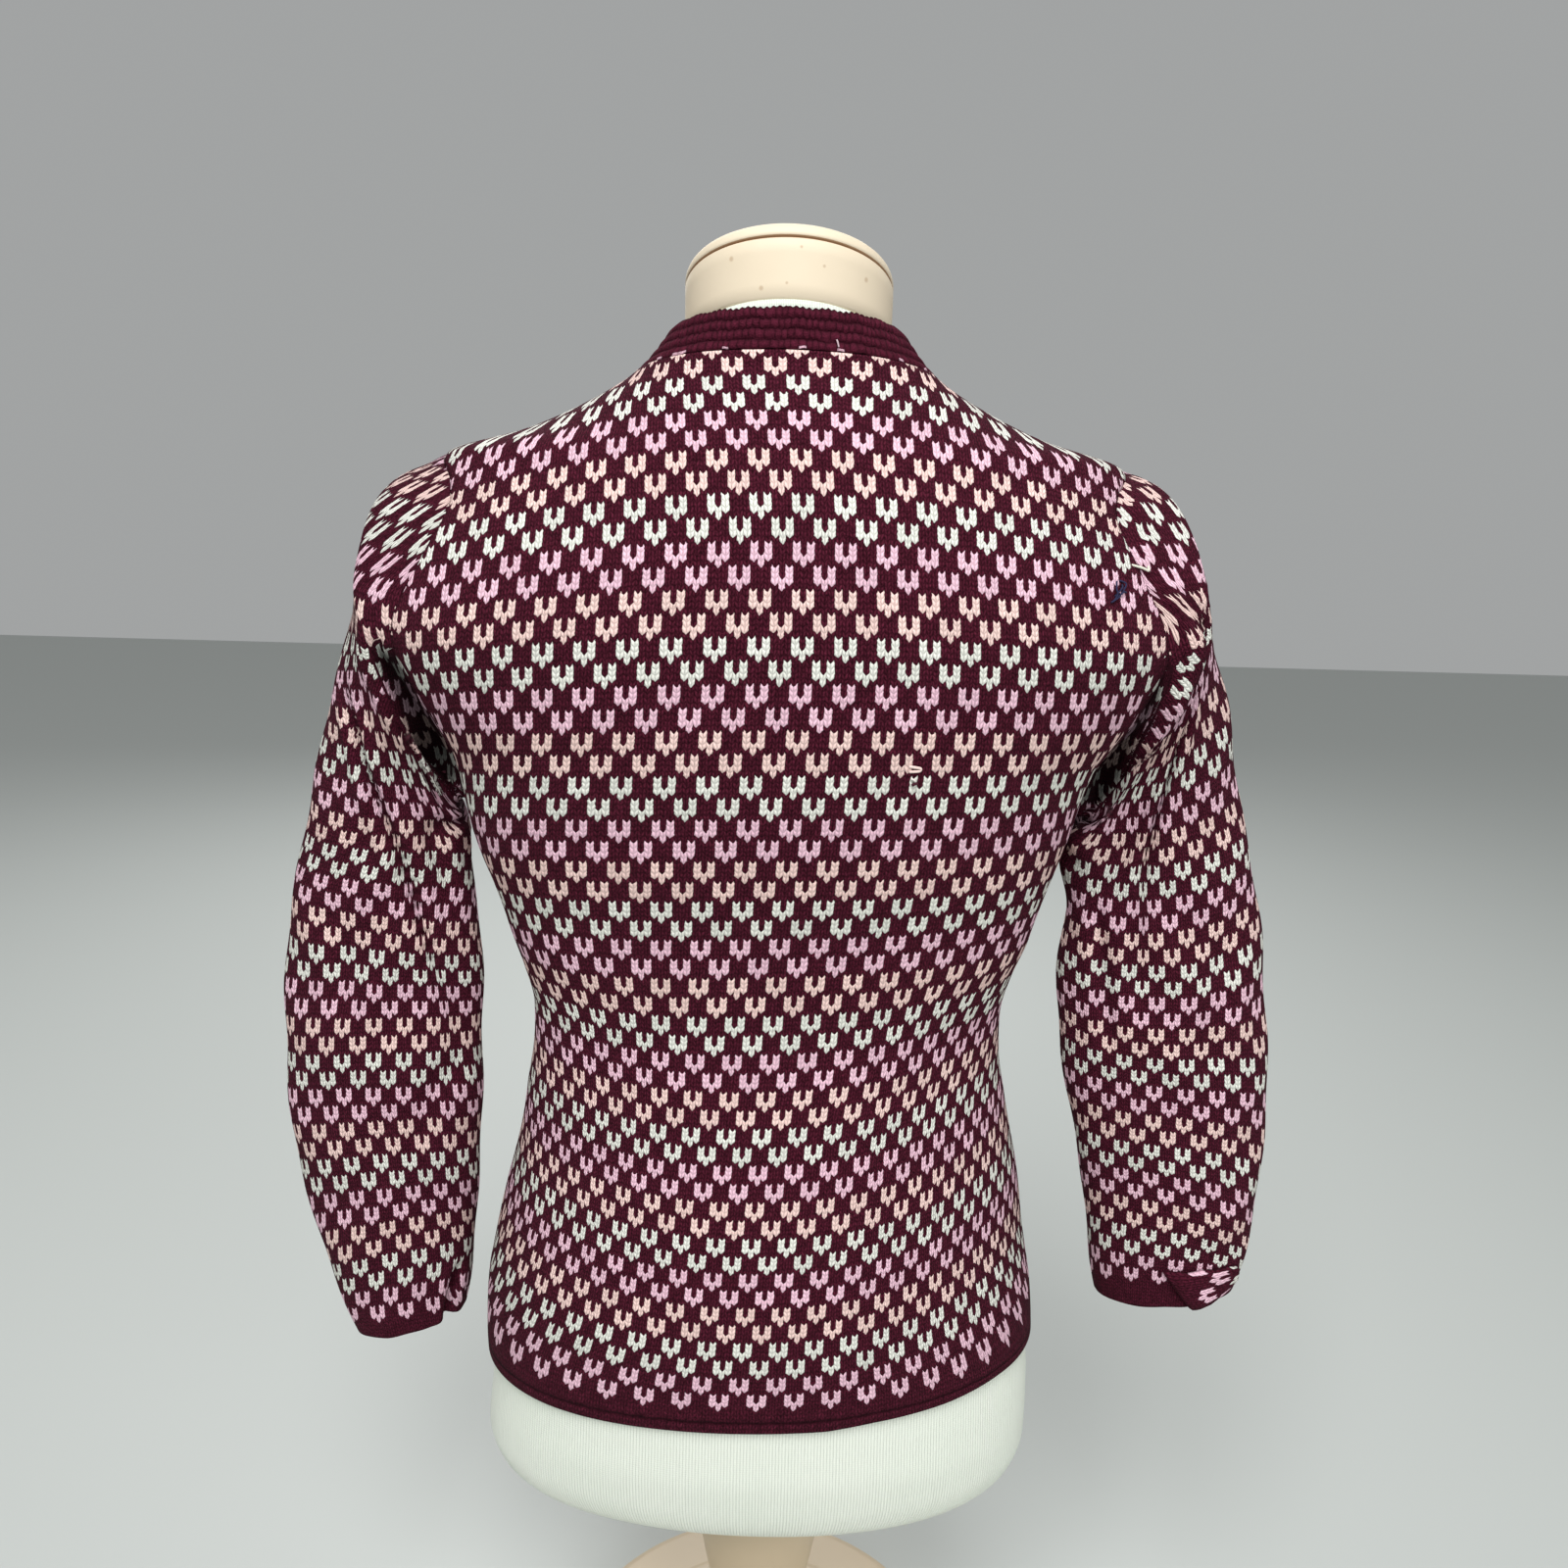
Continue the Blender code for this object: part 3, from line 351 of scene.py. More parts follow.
GROUND = (0.074, 0.0098, 0.0220)
PEACH = (0.90, 0.65, 0.60)
MINT = (0.80, 0.80, 0.73)
PINK = (0.87, 0.56, 0.67)
PRONG_SPARE = 0.10         # how much wider than a stitch the outer stitches of a motif spread
WOOL_SHINE = 0.05          # specular level of the wool
WOOL_TINT = (0.85, 0.62, 0.68)  # of its nap


# ---------------------------------------------------------------- tables and surfaces
def smooth(knots, values, at):
    """Values at any place on a smooth curve through the knots that never overshoots."""
    knots, values, at = (np.asarray(item, dtype=float) for item in (knots, values, at))
    steps = np.diff(knots)
    rises = np.diff(values) / steps
    slopes = np.zeros_like(values)
    same_way = rises[:-1] * rises[1:] > 0
    before, after = rises[:-1][same_way], rises[1:][same_way]
    slopes[1:-1][same_way] = 2 * before * after / (before + after)
    slopes[0], slopes[-1] = rises[0], rises[-1]
    cell = np.clip(np.searchsorted(knots, at, side="right") - 1, 0, len(steps) - 1)
    width = steps[cell]
    part = np.clip((at - knots[cell]) / width, 0.0, 1.0)
    keep = (1 + 2 * part) * (1 - part) ** 2
    return (keep * values[cell] + (1 - keep) * values[cell + 1]
            + part * (1 - part) ** 2 * width * slopes[cell]
            - part ** 2 * (1 - part) * width * slopes[cell + 1])


def looked_up(table, at):
    """The other columns of a table on smooth curves, at places in its first column."""
    knots, *rest = np.array(table).T
    return [smooth(knots, values, at) for values in rest]


def length(vectors):
    """Length of each vector."""
    return np.linalg.norm(vectors, axis=-1)


def unit(vectors):
    """The same vectors at length one."""
    return vectors / length(vectors)[..., None]


def summed(steps):
    """Running sums of the steps along the last axis, from 0."""
    return np.cumsum(np.concatenate((0 * steps[..., :1], steps), axis=-1), axis=-1)


def wrapped(grid):
    """A grid with its first column once more at the end."""
    return np.concatenate((grid, grid[:, :1]), axis=1)


def ramp(value, low, high):
    """0 below low, 1 above high, and a soft rise between them."""
    part = np.clip((value - low) / (high - low), 0.0, 1.0)
    return part * part * (3 - 2 * part)


def body_point(turn, height, form=False):
    """Point of the fabric's outer face or of the form: turn is 0 at the centre back, 90 at +X."""
    turn, height = np.broadcast_arrays(np.asarray(turn, float), np.asarray(height, float))
    side, rear = np.sin(np.radians(turn)), np.cos(np.radians(turn))
    cloth_half, form_half, middle, back, front, power, _ = looked_up(SECTIONS, height)
    half = form_half if form else cloth_half
    depth = np.where(rear >= 0, back - middle, middle - front)
    reach = ((np.abs(side) / half) ** power + (np.abs(rear) / depth) ** power) ** (-1 / power)
    return np.stack((reach * side, middle + reach * rear, height), axis=-1)


def surface(turn, height, form=False):
    """Points of the same surface and its outward unit normals."""
    around, upward = (body_point(turn + side, height + rise, form)
                      - body_point(turn - side, height - rise, form)
                      for side, rise in ((0.8, 0.0), (0.0, 0.0008)))
    return body_point(turn, height, form), unit(np.cross(upward, around))


def side_shift(points):
    """How far the body's sides stand out from their sections, at +X and at -X."""
    shifts = np.where(points[..., 0] > 0, *looked_up(SIDE_SHIFT, points[..., 2]))
    return shifts * ramp(np.abs(points[..., 0]), 0.04, 0.135)


# Arc lengths round the body from the centre back, and turn angles by share of the half
# girth, both on a regular grid, so that whole grids of points can be looked up at once.
GRID_LOW, GRID_STEP, GRID_ROWS = 0.320, 0.002, 326
GRID_TURNS = np.linspace(0.0, 180.0, 361)
GRID_SHARES = np.linspace(0.0, 1.0, 721)
grid_heights = GRID_LOW + GRID_STEP * np.arange(GRID_ROWS)
grid_arcs = summed(length(np.diff(body_point(GRID_TURNS, grid_heights[:, None]), axis=1)))
grid_turns = np.array([np.interp(GRID_SHARES, arcs / arcs[-1], GRID_TURNS) for arcs in grid_arcs])


def between(table, row, place):
    """Values of a table at fractional row and place numbers."""
    row, place = np.broadcast_arrays(row, place)
    row = np.clip(row, 0.0, table.shape[0] - 1.001)
    place = np.clip(place, 0.0, table.shape[1] - 1.001)
    low, left = row.astype(int), place.astype(int)
    up, right = row - low, place - left
    return ((1 - up) * ((1 - right) * table[low, left] + right * table[low, left + 1])
            + up * ((1 - right) * table[low + 1, left] + right * table[low + 1, left + 1]))


def arc_to(turn, height):
    """Arc length from the centre back round to a turn angle."""
    return between(grid_arcs, (height - GRID_LOW) / GRID_STEP,
                   np.asarray(turn, float) / 180.0 * (len(GRID_TURNS) - 1))


def turn_after(arc, height):
    """Turn angle at an arc length from the centre back."""
    share = arc / arc_to(180.0, height)
    return between(grid_turns, (height - GRID_LOW) / GRID_STEP, share * (len(GRID_SHARES) - 1))


def arc_from_centre(side, turn, height):
    """Arc length of a turn angle from the centre line of the back or of the front."""
    arc = arc_to(turn, height)
    return arc if side == "back" else arc_to(180.0, height) - arc


def turn_from_centre(side, arc, height):
    """Turn angle at an arc length from the centre line of the back or of the front."""
    if side == "back":
        return turn_after(arc, height)
    return turn_after(arc_to(180.0, height) - arc, height)


# ---------------------------------------------------------------- panels
def armhole_shares():
    """Shares of the armhole's height at the panel rows, closer together at both ends."""
    even = np.linspace(0.0, 1.0, ARMHOLE_ROWS + 1)
    return (even + (1 - np.cos(math.pi * even)) / 2) / 2


def edge_turn(side, heights):
    """Turn angles of a panel's side edge: the side seam, then the armhole."""
    turns = looked_up(ARMHOLE, heights)[side == "front"]
    return np.where(heights <= UNDERARM_HEIGHT, 90.0, turns)


def neckline(turn):
    """Heights of the neckline seam and of the neckband's rim at a turn angle."""
    return looked_up(NECKLINE, turn)


def panel_top(side, arc):
    """Height where a panel's column ends: on the neckline or on the shoulder seam."""
    neck_side = neckline(90.0)[0]
    seam = np.linspace(SHOULDER_HEIGHT, neck_side, 41)
    seam_arcs = arc_from_centre(side, 90.0, seam)
    if arc >= seam_arcs[-1]:
        return np.interp(arc, seam_arcs[::-1], seam[::-1])
    heights = np.linspace(neckline(180.0)[0] - 0.006, neck_side + 0.02, 121)
    turns = turn_from_centre(side, arc, heights)
    return np.interp(0.0, heights - neckline(turns)[0], heights)


def panel_grid(side, start_arc):
    """Turn and height grids of a half panel, from its centre edge out to its side."""
    trim = SEAM_GAP / 2
    edges = np.concatenate((
        np.linspace(HEM_HEIGHT, UNDERARM_HEIGHT, BODY_ROWS + 1),
        UNDERARM_HEIGHT + (SHOULDER_HEIGHT - UNDERARM_HEIGHT) * armhole_shares()[1:]))
    reach = arc_from_centre(side, edge_turn(side, edges), edges) - trim
    corner = arc_from_centre(side, 90.0, neckline(90.0)[0])
    corner_share = (corner - start_arc) / (reach[-1] - start_arc)
    share = np.concatenate((np.linspace(0.0, corner_share, NECKLINE_COLUMNS + 1),
                            np.linspace(corner_share, 1.0, SHOULDER_COLUMNS + 1)[1:]))
    tops = np.array([panel_top(side, arc) for arc in start_arc + share * (reach[-1] - start_arc)])
    rise = (edges - HEM_HEIGHT) / (SHOULDER_HEIGHT - HEM_HEIGHT)
    heights = HEM_HEIGHT + rise[:, None] * (tops - trim - HEM_HEIGHT)
    arcs = start_arc + share * (reach[:, None] - start_arc)
    return turn_from_centre(side, arcs, heights), heights


def leaned(turns, heights):
    """The same heights with the lean of the hem, which fades out at the underarm."""
    fade = np.clip((UNDERARM_HEIGHT - heights) / (UNDERARM_HEIGHT - HEM_HEIGHT), 0.0, 1.0)
    return heights - HEM_LEAN * body_point(turns, heights)[..., 0] * fade


def leaned_hem(turns):
    """Height of the hem's edge at a turn angle."""
    return leaned(turns, np.full(np.shape(turns), HEM_HEIGHT))


# ---------------------------------------------------------------- how the knitting lies
def knit_place(repeat, row):
    """Stitch and row numbers from the repeat and the row of motifs at a motif's middle."""
    stitch = np.asarray(repeat) * STITCHES + 1.5
    level = (np.asarray(row) + 0.5) * ROWS + STITCH_SLANT / 2
    return np.stack(np.broadcast_arrays(stitch, level), axis=-1)


def near_hem(from_hem):
    """1 at the hem's edge, fading to 0 where the rows stop following it."""
    return 1 - ramp(from_hem, 0.004, HEM_BLEND)


def back_lay(turns, heights):
    """Stitch and row numbers of points on the back, whose turns are negative at -X."""
    arcs = np.sign(turns) * arc_to(np.abs(turns), heights)
    out = np.clip(arcs / LAY_SPAN, -LAY_LIMIT, LAY_LIMIT)
    row, lean, droop, centre, repeats, spread, pull = looked_up(LAY, heights)
    row = row + lean * out + droop * out ** 2
    from_hem = (heights - leaned_hem(turns)) / math.cos(HEM_SLANT)
    row += ((from_hem - HEM_TO_MOTIF) / MOTIF_PITCH - row) * near_hem(from_hem)
    repeat = centre + repeats * arcs / LAY_SPAN + spread * out ** 2 + pull * out ** 3
    return knit_place(repeat, row)


def front_lay(turns, heights):
    """Stitch and row numbers on a front: level rows that meet the back's at the side seam."""
    way = np.sign(turns)
    arcs = arc_from_centre("front", np.abs(turns), heights)
    seam = back_lay(way * 90.0, heights)[..., 1]
    middle = back_lay(np.zeros_like(turns), heights)[..., 1]
    share = np.clip(arcs / arc_from_centre("front", 90.0, heights), 0.0, 1.0)
    row = middle + (seam - middle) * share ** 2
    from_hem = heights - leaned_hem(turns)
    edge_row = knit_place(0.0, (from_hem - HEM_TO_MOTIF) / MOTIF_PITCH)[..., 1]
    row += (edge_row - row) * near_hem(from_hem)
    return np.stack((way * arcs / REPEAT_WIDTH * STITCHES, row), axis=-1)


# ---------------------------------------------------------------- meshes
QUAD = ((0, 0), (0, 1), (1, 1), (1, 0))    # steps up and along to the corners of a quad


def mesh_of(name, points, faces, **maps):
    """A smooth mesh with its faces turned outwards and its named UV maps."""
    mesh = bpy.data.meshes.new(name)
    mesh.from_pydata(points.tolist(), [], faces)
    for label, places in maps.items():
        mesh.uv_layers.new(name=label).data.foreach_set("uv", np.ravel(places))
    form = bmesh.new()
    form.from_mesh(mesh)
    bmesh.ops.recalc_face_normals(form, faces=form.faces)
    form.to_mesh(mesh)
    form.free()
    mesh.shade_smooth()
    return mesh


def wall_mesh(name, outer, inner, knit, closed=False, first_roll=0.0, last_roll=0.0, fold=None):
    """Closed wall between two matching grids, indexed [row][column].

    The profile of every column runs up the outer face, over the last edge, down the inner
    face and back under the first edge. Each roll is how far that edge bulges. With closed
    set, the last column joins the first, and knit has one column more. fold says how much
    painted shade each outer point gets for lying in or beside a deep fold, from 0 to 1.
    """
    rows, columns = outer.shape[:2]
    last = (outer[-1] + inner[-1]) / 2 + unit(outer[-1] - outer[-2]) * last_roll
    first = (outer[0] + inner[0]) / 2 + unit(outer[0] - outer[1]) * first_roll
    profile = np.concatenate((outer, last[None], inner[::-1], first[None]))
    knit_profile = np.concatenate((knit, knit[-1:], knit[::-1], knit[:1], knit[:1]))
    turns, spans = len(profile), columns - 1 + closed
    row, place = (item.ravel() for item in np.indices((turns, spans)))
    # The outer face takes most of the baking map, the inner face a strip under it.
    level = np.concatenate((np.linspace(0.20, 0.99, rows), [0.995],
                            np.linspace(0.18, 0.02, rows), [0.015, 0.010]))
    faces, knit_at, bake_at = [], [], []
    for up, right in QUAD:
        faces.append((row + up) % turns * columns + (place + right) % columns)
        knit_at.append(knit_profile[row + up, place + right])
        height = np.where(row == rows, 0.185 if up else 0.195, level[row + up])
        bake_at.append(np.stack((0.01 + 0.97 * (place + right) / spans, height), axis=-1))
    faces = np.stack(faces, axis=1).tolist()
    knit_at, bake_at = (np.stack(item, axis=1).reshape(-1, 2).tolist()
                        for item in (knit_at, bake_at))
    slots = ((row > rows) & (row < 2 * rows)).astype(int).tolist()
    # The walls at the two sides, as quads between the faces and a triangle at each edge.
    for place, edge in () if closed else ((0.985, 0), (0.992, columns - 1)):
        for row in range(rows - 1):
            faces.append([item * columns + edge
                          for item in (row, row + 1, 2 * rows - row - 1, 2 * rows - row)])
            knit_at += [knit[item, edge].tolist() for item in (row, row + 1, row + 1, row)]
            low, high = 0.2 + 0.79 * row / rows, 0.2 + 0.79 * (row + 1) / rows
            bake_at += [[place, low], [place, high], [place + 0.005, high], [place + 0.005, low]]
        for corners in ((0, 2 * rows + 1, 2 * rows), (rows - 1, rows, rows + 1)):
            faces.append([item * columns + edge for item in corners])
            knit_at += [knit[corners[0], edge].tolist()] * 3
            bake_at += [[place, 0.001], [place + 0.003, 0.001], [place, 0.004]]
    mesh = mesh_of(name, profile.reshape(-1, 3), faces, OFBake=bake_at, Knit=knit_at)
    mesh.polygons.foreach_set("material_index", slots + [0] * (len(faces) - len(slots)))
    # The fold attribute carries each outer point's painted shade to the knit material.
    fold = np.zeros((rows, columns)) if fold is None else fold
    depth = np.concatenate((fold, fold[-1:], fold[::-1], fold[:1]))
    mesh.attributes.new("fold", "FLOAT", "POINT").data.foreach_set("value", depth.ravel())
    return mesh


def tube_mesh(name, rings, place=Matrix.Identity(4), lay=None):
    """Closed solid through rings, with a middle point on each end."""
    count, sides = rings.shape[:2]
    points = np.concatenate((rings.reshape(-1, 3), [rings[0].mean(axis=0), rings[-1].mean(axis=0)]))
    place = np.array(place)
    faces, corners = [], []
    for row in range(count - 1):
        for side in range(sides):
            faces.append([(row + up) * sides + (side + right) % sides for up, right in QUAD])
            corners += [(row + up, side + right) for up, right in QUAD]
    for row, middle in ((0, count * sides), (count - 1, count * sides + 1)):
        for side in range(sides):
            faces.append([row * sides + side, row * sides + (side + 1) % sides, middle])
            corners += [(row, side), (row, side + 1), (row, side)]
    maps = {} if lay is None else {"Knit": lay[tuple(np.transpose(corners))]}
    return mesh_of(name, points @ place[:3, :3].T + place[:3, 3], faces, **maps)


def yarn_mesh(name, line, radius, place=Matrix.Identity(4)):
    """A round strand through a few points."""
    line = np.array(line, dtype=float)
    if len(line) > 2:
        line = drawn_through(line[:, None], 4 * len(line))[0][:, 0]
    along = unit(np.gradient(line, axis=0))
    aside = unit(np.cross(along, (0.31, 0.52, 0.80)))
    upward = np.cross(along, aside)
    turns = np.linspace(0.0, 2 * math.pi, 8, endpoint=False)[None, :, None]
    ring = np.cos(turns) * aside[:, None] + np.sin(turns) * upward[:, None]
    return tube_mesh(name, line[:, None] + radius * ring, place)


def show(name, data):
    """A new object in the scene."""
    thing = bpy.data.objects.new(name, data)
    bpy.context.scene.collection.objects.link(thing)
    return thing


def add_piece(name, mesh, materials, nodes):
    """Link a mesh as a piece that stands for the named solids."""
    thing = show(name, mesh)
    for material in materials:
        mesh.materials.append(material)
    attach(thing, "root")
    if nodes:
        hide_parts(*nodes)
    return thing


def add_knit(name, outer, inner, lay, materials, **edges):
    """A knitted wall as the piece that stands for the solid of that name, if there is one."""
    mesh = wall_mesh(name + "_knit", outer, inner, lay, **edges)
    return add_piece(mesh.name, mesh, materials, [name] if name in SHEETS else [])


def add_strand(mesh, material, lead):
    """Link a strand of yarn that goes with another piece."""
    strand = show(mesh.name, mesh)
    mesh.materials.append(material)
    strand.parent = lead


# ---------------------------------------------------------------- materials
def maths(operation):
    """A method that adds a maths node, which takes the method's value first."""
    return lambda value, *others: value.made.math(operation, value, *others)


class Value:
    """A shader value to reckon with: every operation adds a node."""

    def __init__(self, made, socket):
        self.made, self.socket = made, socket

    __add__, __sub__, __mul__ = maths("ADD"), maths("SUBTRACT"), maths("MULTIPLY")
    __truediv__, __mod__, __pow__ = maths("DIVIDE"), maths("FLOORED_MODULO"), maths("POWER")
    __gt__, __lt__ = maths("GREATER_THAN"), maths("LESS_THAN")
    __abs__, __floor__ = maths("ABSOLUTE"), maths("FLOOR")
    fraction, sine, least = maths("FRACT"), maths("SINE"), maths("MINIMUM")
    line = maths("MULTIPLY_ADD")    # times a gain, plus a start
    near = maths("COMPARE")         # 1 within reach of a place, and 0 elsewhere

    def rest(self):
        """One less the value."""
        return self.made.math("SUBTRACT", 1.0, self)

    def arch(self):
        """Half a wave over every whole number: 0 at both ends and 1 between them."""
        return (self.fraction() * math.pi).sine()


class Recipe:
    """A Principled material with short ways to add nodes."""

    def __init__(self, name, roughness):
        self.material = bpy.data.materials.new(name)
        self.material.use_nodes = True
        self.tree = self.material.node_tree
        self.inputs = self.tree.nodes["Principled BSDF"].inputs
        self.inputs["Roughness"].default_value = roughness

    def link(self, value, socket):
        """Feed a socket from a value, or set it to a number or a colour."""
        if isinstance(value, Value):
            self.tree.links.new(value.socket, socket)
        elif isinstance(value, tuple):
            socket.default_value = (*value, 1.0)[:len(socket.default_value)]
        else:
            socket.default_value = value

    def node(self, kind, feeds=(), **settings):
        """A new node with its settings, and its sockets fed by number or name."""
        made = self.tree.nodes.new("ShaderNode" + kind)
        for key, value in settings.items():
            setattr(made, key, value)
        for socket, value in dict(feeds).items():
            self.link(value, made.inputs[socket])
        return made

    def out(self, kind, feeds=(), output=0, **settings):
        """One output of a new node."""
        return Value(self, self.node(kind, feeds, **settings).outputs[output])

    def math(self, operation, *values):
        """A maths node."""
        return self.out("Math", enumerate(values), operation=operation)

    def mix(self, share, first, second, how="MIX"):
        """A blend of two colours."""
        return self.out("Mix", {0: share, 6: first, 7: second}, 2, data_type="RGBA", blend_type=how)

    def scaled(self, colour, factor):
        """A colour times a factor."""
        grey = self.out("CombineColor", dict.fromkeys(range(3), factor))
        return self.mix(1.0, colour, grey, "MULTIPLY")

    def noise(self, scale, detail=2.0, place=None):
        """Noise from 0 to 1 at a scale per metre, or per unit of the place."""
        place = place or self.out("TexCoord", output="Object")
        return self.out("TexNoise", {"Scale": scale, "Detail": detail, "Vector": place}, "Fac")

    def cell(self, first, second):
        """A random number from 0 to 1 for each pair of whole numbers."""
        pair = self.out("CombineXYZ", {0: first, 1: second})
        return self.out("TexWhiteNoise", {"Vector": pair}, "Value", noise_dimensions="2D")

    def split(self, place):
        """X, Y and Z of a place."""
        return [Value(self, output) for output in self.node("SeparateXYZ", {0: place}).outputs]

    def map_range(self, value, low, high, to_low, to_high, how="LINEAR"):
        """The value moved from one range to another, and held at its ends."""
        feeds = {"Value": value, "From Min": low, "From Max": high, "To Min": to_low,
                 "To Max": to_high}
        return self.out("MapRange", feeds, interpolation_type=how)

    def colour(self, value):
        """Set the colour of the surface."""
        self.link(value, self.inputs["Base Color"])

    def bump(self, height, distance, strength=1.0):
        """Relief on the shader's normal."""
        feeds = {"Strength": strength, "Distance": distance, "Height": height}
        self.link(self.out("Bump", feeds), self.inputs["Normal"])

    def sheen(self, weight, tint):
        """Nap that catches light at grazing angles, on wool that shines little."""
        for name, value in (("Specular IOR Level", WOOL_SHINE), ("Sheen Weight", weight),
                            ("Sheen Roughness", 0.5), ("Sheen Tint", tint)):
            self.link(value, self.inputs[name])

    def knit_axes(self):
        """Stitch and row numbers from the knitting map, a little uneven."""
        place = self.out("UVMap", uv_map="Knit")
        along, up, _ = self.split(place)
        drift, ripple = self.noise(0.55, 1.0, place), self.noise(1.7, 1.0, place)
        return along + (ripple - 0.5) * 0.28, up + (drift - 0.5) * 0.5

    def motif_yarn(self, motif_row):
        """The pattern's yarn in a row of motifs, which changes every two rows."""
        turn = motif_row % 6.0
        yarn = self.mix(turn > 1.5, PINK, MINT)
        return self.mix(turn > 3.5, yarn, PEACH)


def spread_stitches(made, along, up):
    """The stitch axis with the outer stitches of every motif wider and its middle narrower."""
    motif_row = math.floor((up - STITCH_SLANT / 2) / ROWS)
    place = (along + (motif_row + 1.0) * (STITCHES / 2)) % STITCHES
    half = PRONG_SPARE / 2
    for start, end, low, high in ((-half, 1 + half, half, -half),
                                  (1 + half, 2 - half, 0.0, 2 * half),
                                  (2 - half, 3 + half, 0.0, -2 * half),
                                  (3 + half, STITCHES - half, 0.0, 2 * half)):
        along = along + made.map_range(place, start, end, low, high)
    return along


def knit_material(name, grooved):
    """Stocking stitch with the two-pronged motifs, painted shade between the stitches, and a groove
    above the hem's edge drawn in painted shade.
    """
    made = Recipe(name, 0.93)
    along, up = made.knit_axes()
    # fold: painted shade in the armpit folds and beside the armhole seams.
    depth = made.out("Attribute", (), "Fac", attribute_name="fold")
    along = spread_stitches(made, along, up)
    level = up - abs(along.fraction() - 0.5) * 2.0 * STITCH_SLANT
    row, stitch = math.floor(level), math.floor(along)
    relief = (along * 2.0).arch() ** 0.7 * level.arch() ** 0.6
    fibre, fuzz = made.noise(2600.0, 3.0), made.noise(900.0, 3.0)
    if grooved:
        clear = (abs(up - HEM_GROOVE) / 0.45).least(1.0)
        relief = relief * clear
    own = made.cell(stitch, row)
    # Ground yarn: relief darkens the gaps between stitches as painted shade; fuzz, own and the
    # specks vary the yarn's tone.
    shade = relief.line(0.60, 0.36) * fuzz.line(2.6, -0.25) * own.line(0.30, 0.84)
    tweed = made.noise(1300.0, 2.0) > 0.63
    shade = tweed.line(0.45, shade)    # pale specks of the yarn
    # Painted shade in the groove above the hem's edge.
    if grooved:
        shade = shade * clear.line(0.55, 0.45)
    # The motif: one stitch at its foot, then three, then two prongs.
    motif_row = math.floor(row / ROWS)
    line = row - motif_row * ROWS
    shifted = stitch + (motif_row + 1.0) * (STITCHES / 2)
    place = shifted % STITCHES
    middle = place.near(1.0, 0.4)
    drawn = line.near(1.0, 0.4) + (line.near(0.0, 0.4) * middle + (line > 1.5) * middle.rest())
    on_body = (motif_row > -0.5) * (motif_row < MOTIF_ROWS - 0.5)
    mask = drawn * (place < 2.5) * on_body * depth.near(0.25, 0.12).rest()
    worn = made.cell(math.floor(shifted / STITCHES), motif_row)
    # Motif yarn: relief darkens the gaps between its stitches as painted shade; fuzz and worn vary
    # its tone.
    light = relief.line(0.26, 0.80) * fuzz.line(0.30, 0.85) * worn.line(0.14, 0.91)
    motif = made.scaled(made.motif_yarn(motif_row), light)
    colour = made.mix(mask, made.scaled(GROUND, shade), motif)
    # Painted shade darkens the colour in and beside the armpit folds.
    made.colour(made.scaled(colour, depth.line(-FOLD_PAINTED_SHADE, 1.0)))
    made.bump(fibre.line(0.25, relief), 0.0006)
    made.sheen(0.012, WOOL_TINT)
    return made.material


def floats_material():
    """Wrong side of the knitting, with the spare colours carried across in short strands."""
    made = Recipe("knit_wrong_side", 0.95)
    along, up = made.knit_axes()
    strand = up.arch()
    motif_row = math.floor(math.floor(up) / ROWS)
    shown = (math.floor(along / (STITCHES / 2)) + motif_row) % 2.0
    colour = made.mix(shown * strand * 0.55, GROUND, made.motif_yarn(motif_row))
    # Relief darkens the gaps between the strands as painted shade; the noise varies the tone.
    shade = strand.line(0.5, 0.5) * made.noise(2400.0, 3.0).line(0.5, 0.75)
    made.colour(made.scaled(colour, shade))
    made.bump(strand, 0.0006)
    return made.material


def ridged_material():
    """Plain ridged knitting of the neckband and the button bands."""
    made = Recipe("burgundy_ridged_knit", 0.93)
    along, up = made.knit_axes()
    row = math.floor(up)
    shifted = along + row * 0.5
    relief = shifted.arch() ** 0.35 * up.arch() ** 0.6
    own = made.cell(math.floor(shifted), row)
    fuzz = made.noise(1300.0, 3.0)
    # Relief darkens the gaps between the knobs as painted shade; own and fuzz vary the tone.
    shade = relief.line(0.75, 0.34) * own.line(0.25, 0.88) * fuzz.line(1.6, 0.25)
    # Painted shade along the seam edge of the band.
    shade = shade * (up < 0.10).line(-0.55, 1.0)
    fleck = up.near(0.22, 0.10) * (own > 0.84)
    made.colour(made.scaled(made.mix(fleck * 0.8, GROUND, PINK), shade))
    made.bump(fuzz.line(1.2, relief), 0.0009)
    made.sheen(0.012, WOOL_TINT)
    return made.material


def jersey_material():
    """Off-white jersey with fine upright ribs."""
    made = Recipe("white_ribbed_jersey", 0.90)
    around, height, _ = made.split(made.out("UVMap", uv_map="Knit"))
    fuzz = made.noise(1500.0, 4.0)
    relief = (height * 1.3).arch().line(0.25, around.arch() ** 0.7)
    # Relief darkens the grooves between the ribs as painted shade; fuzz varies the tone.
    shade = relief.line(0.14, 0.87) * fuzz.line(0.10, 0.95)
    colour = made.mix(made.noise(14.0, 3.0), (0.81, 0.87, 0.76), (0.88, 0.91, 0.82))
    made.colour(made.scaled(colour, shade))
    made.bump(fuzz.line(0.9, relief), 0.0004, 0.9)
    made.sheen(0.15, (1.0, 1.0, 1.0))
    return made.material


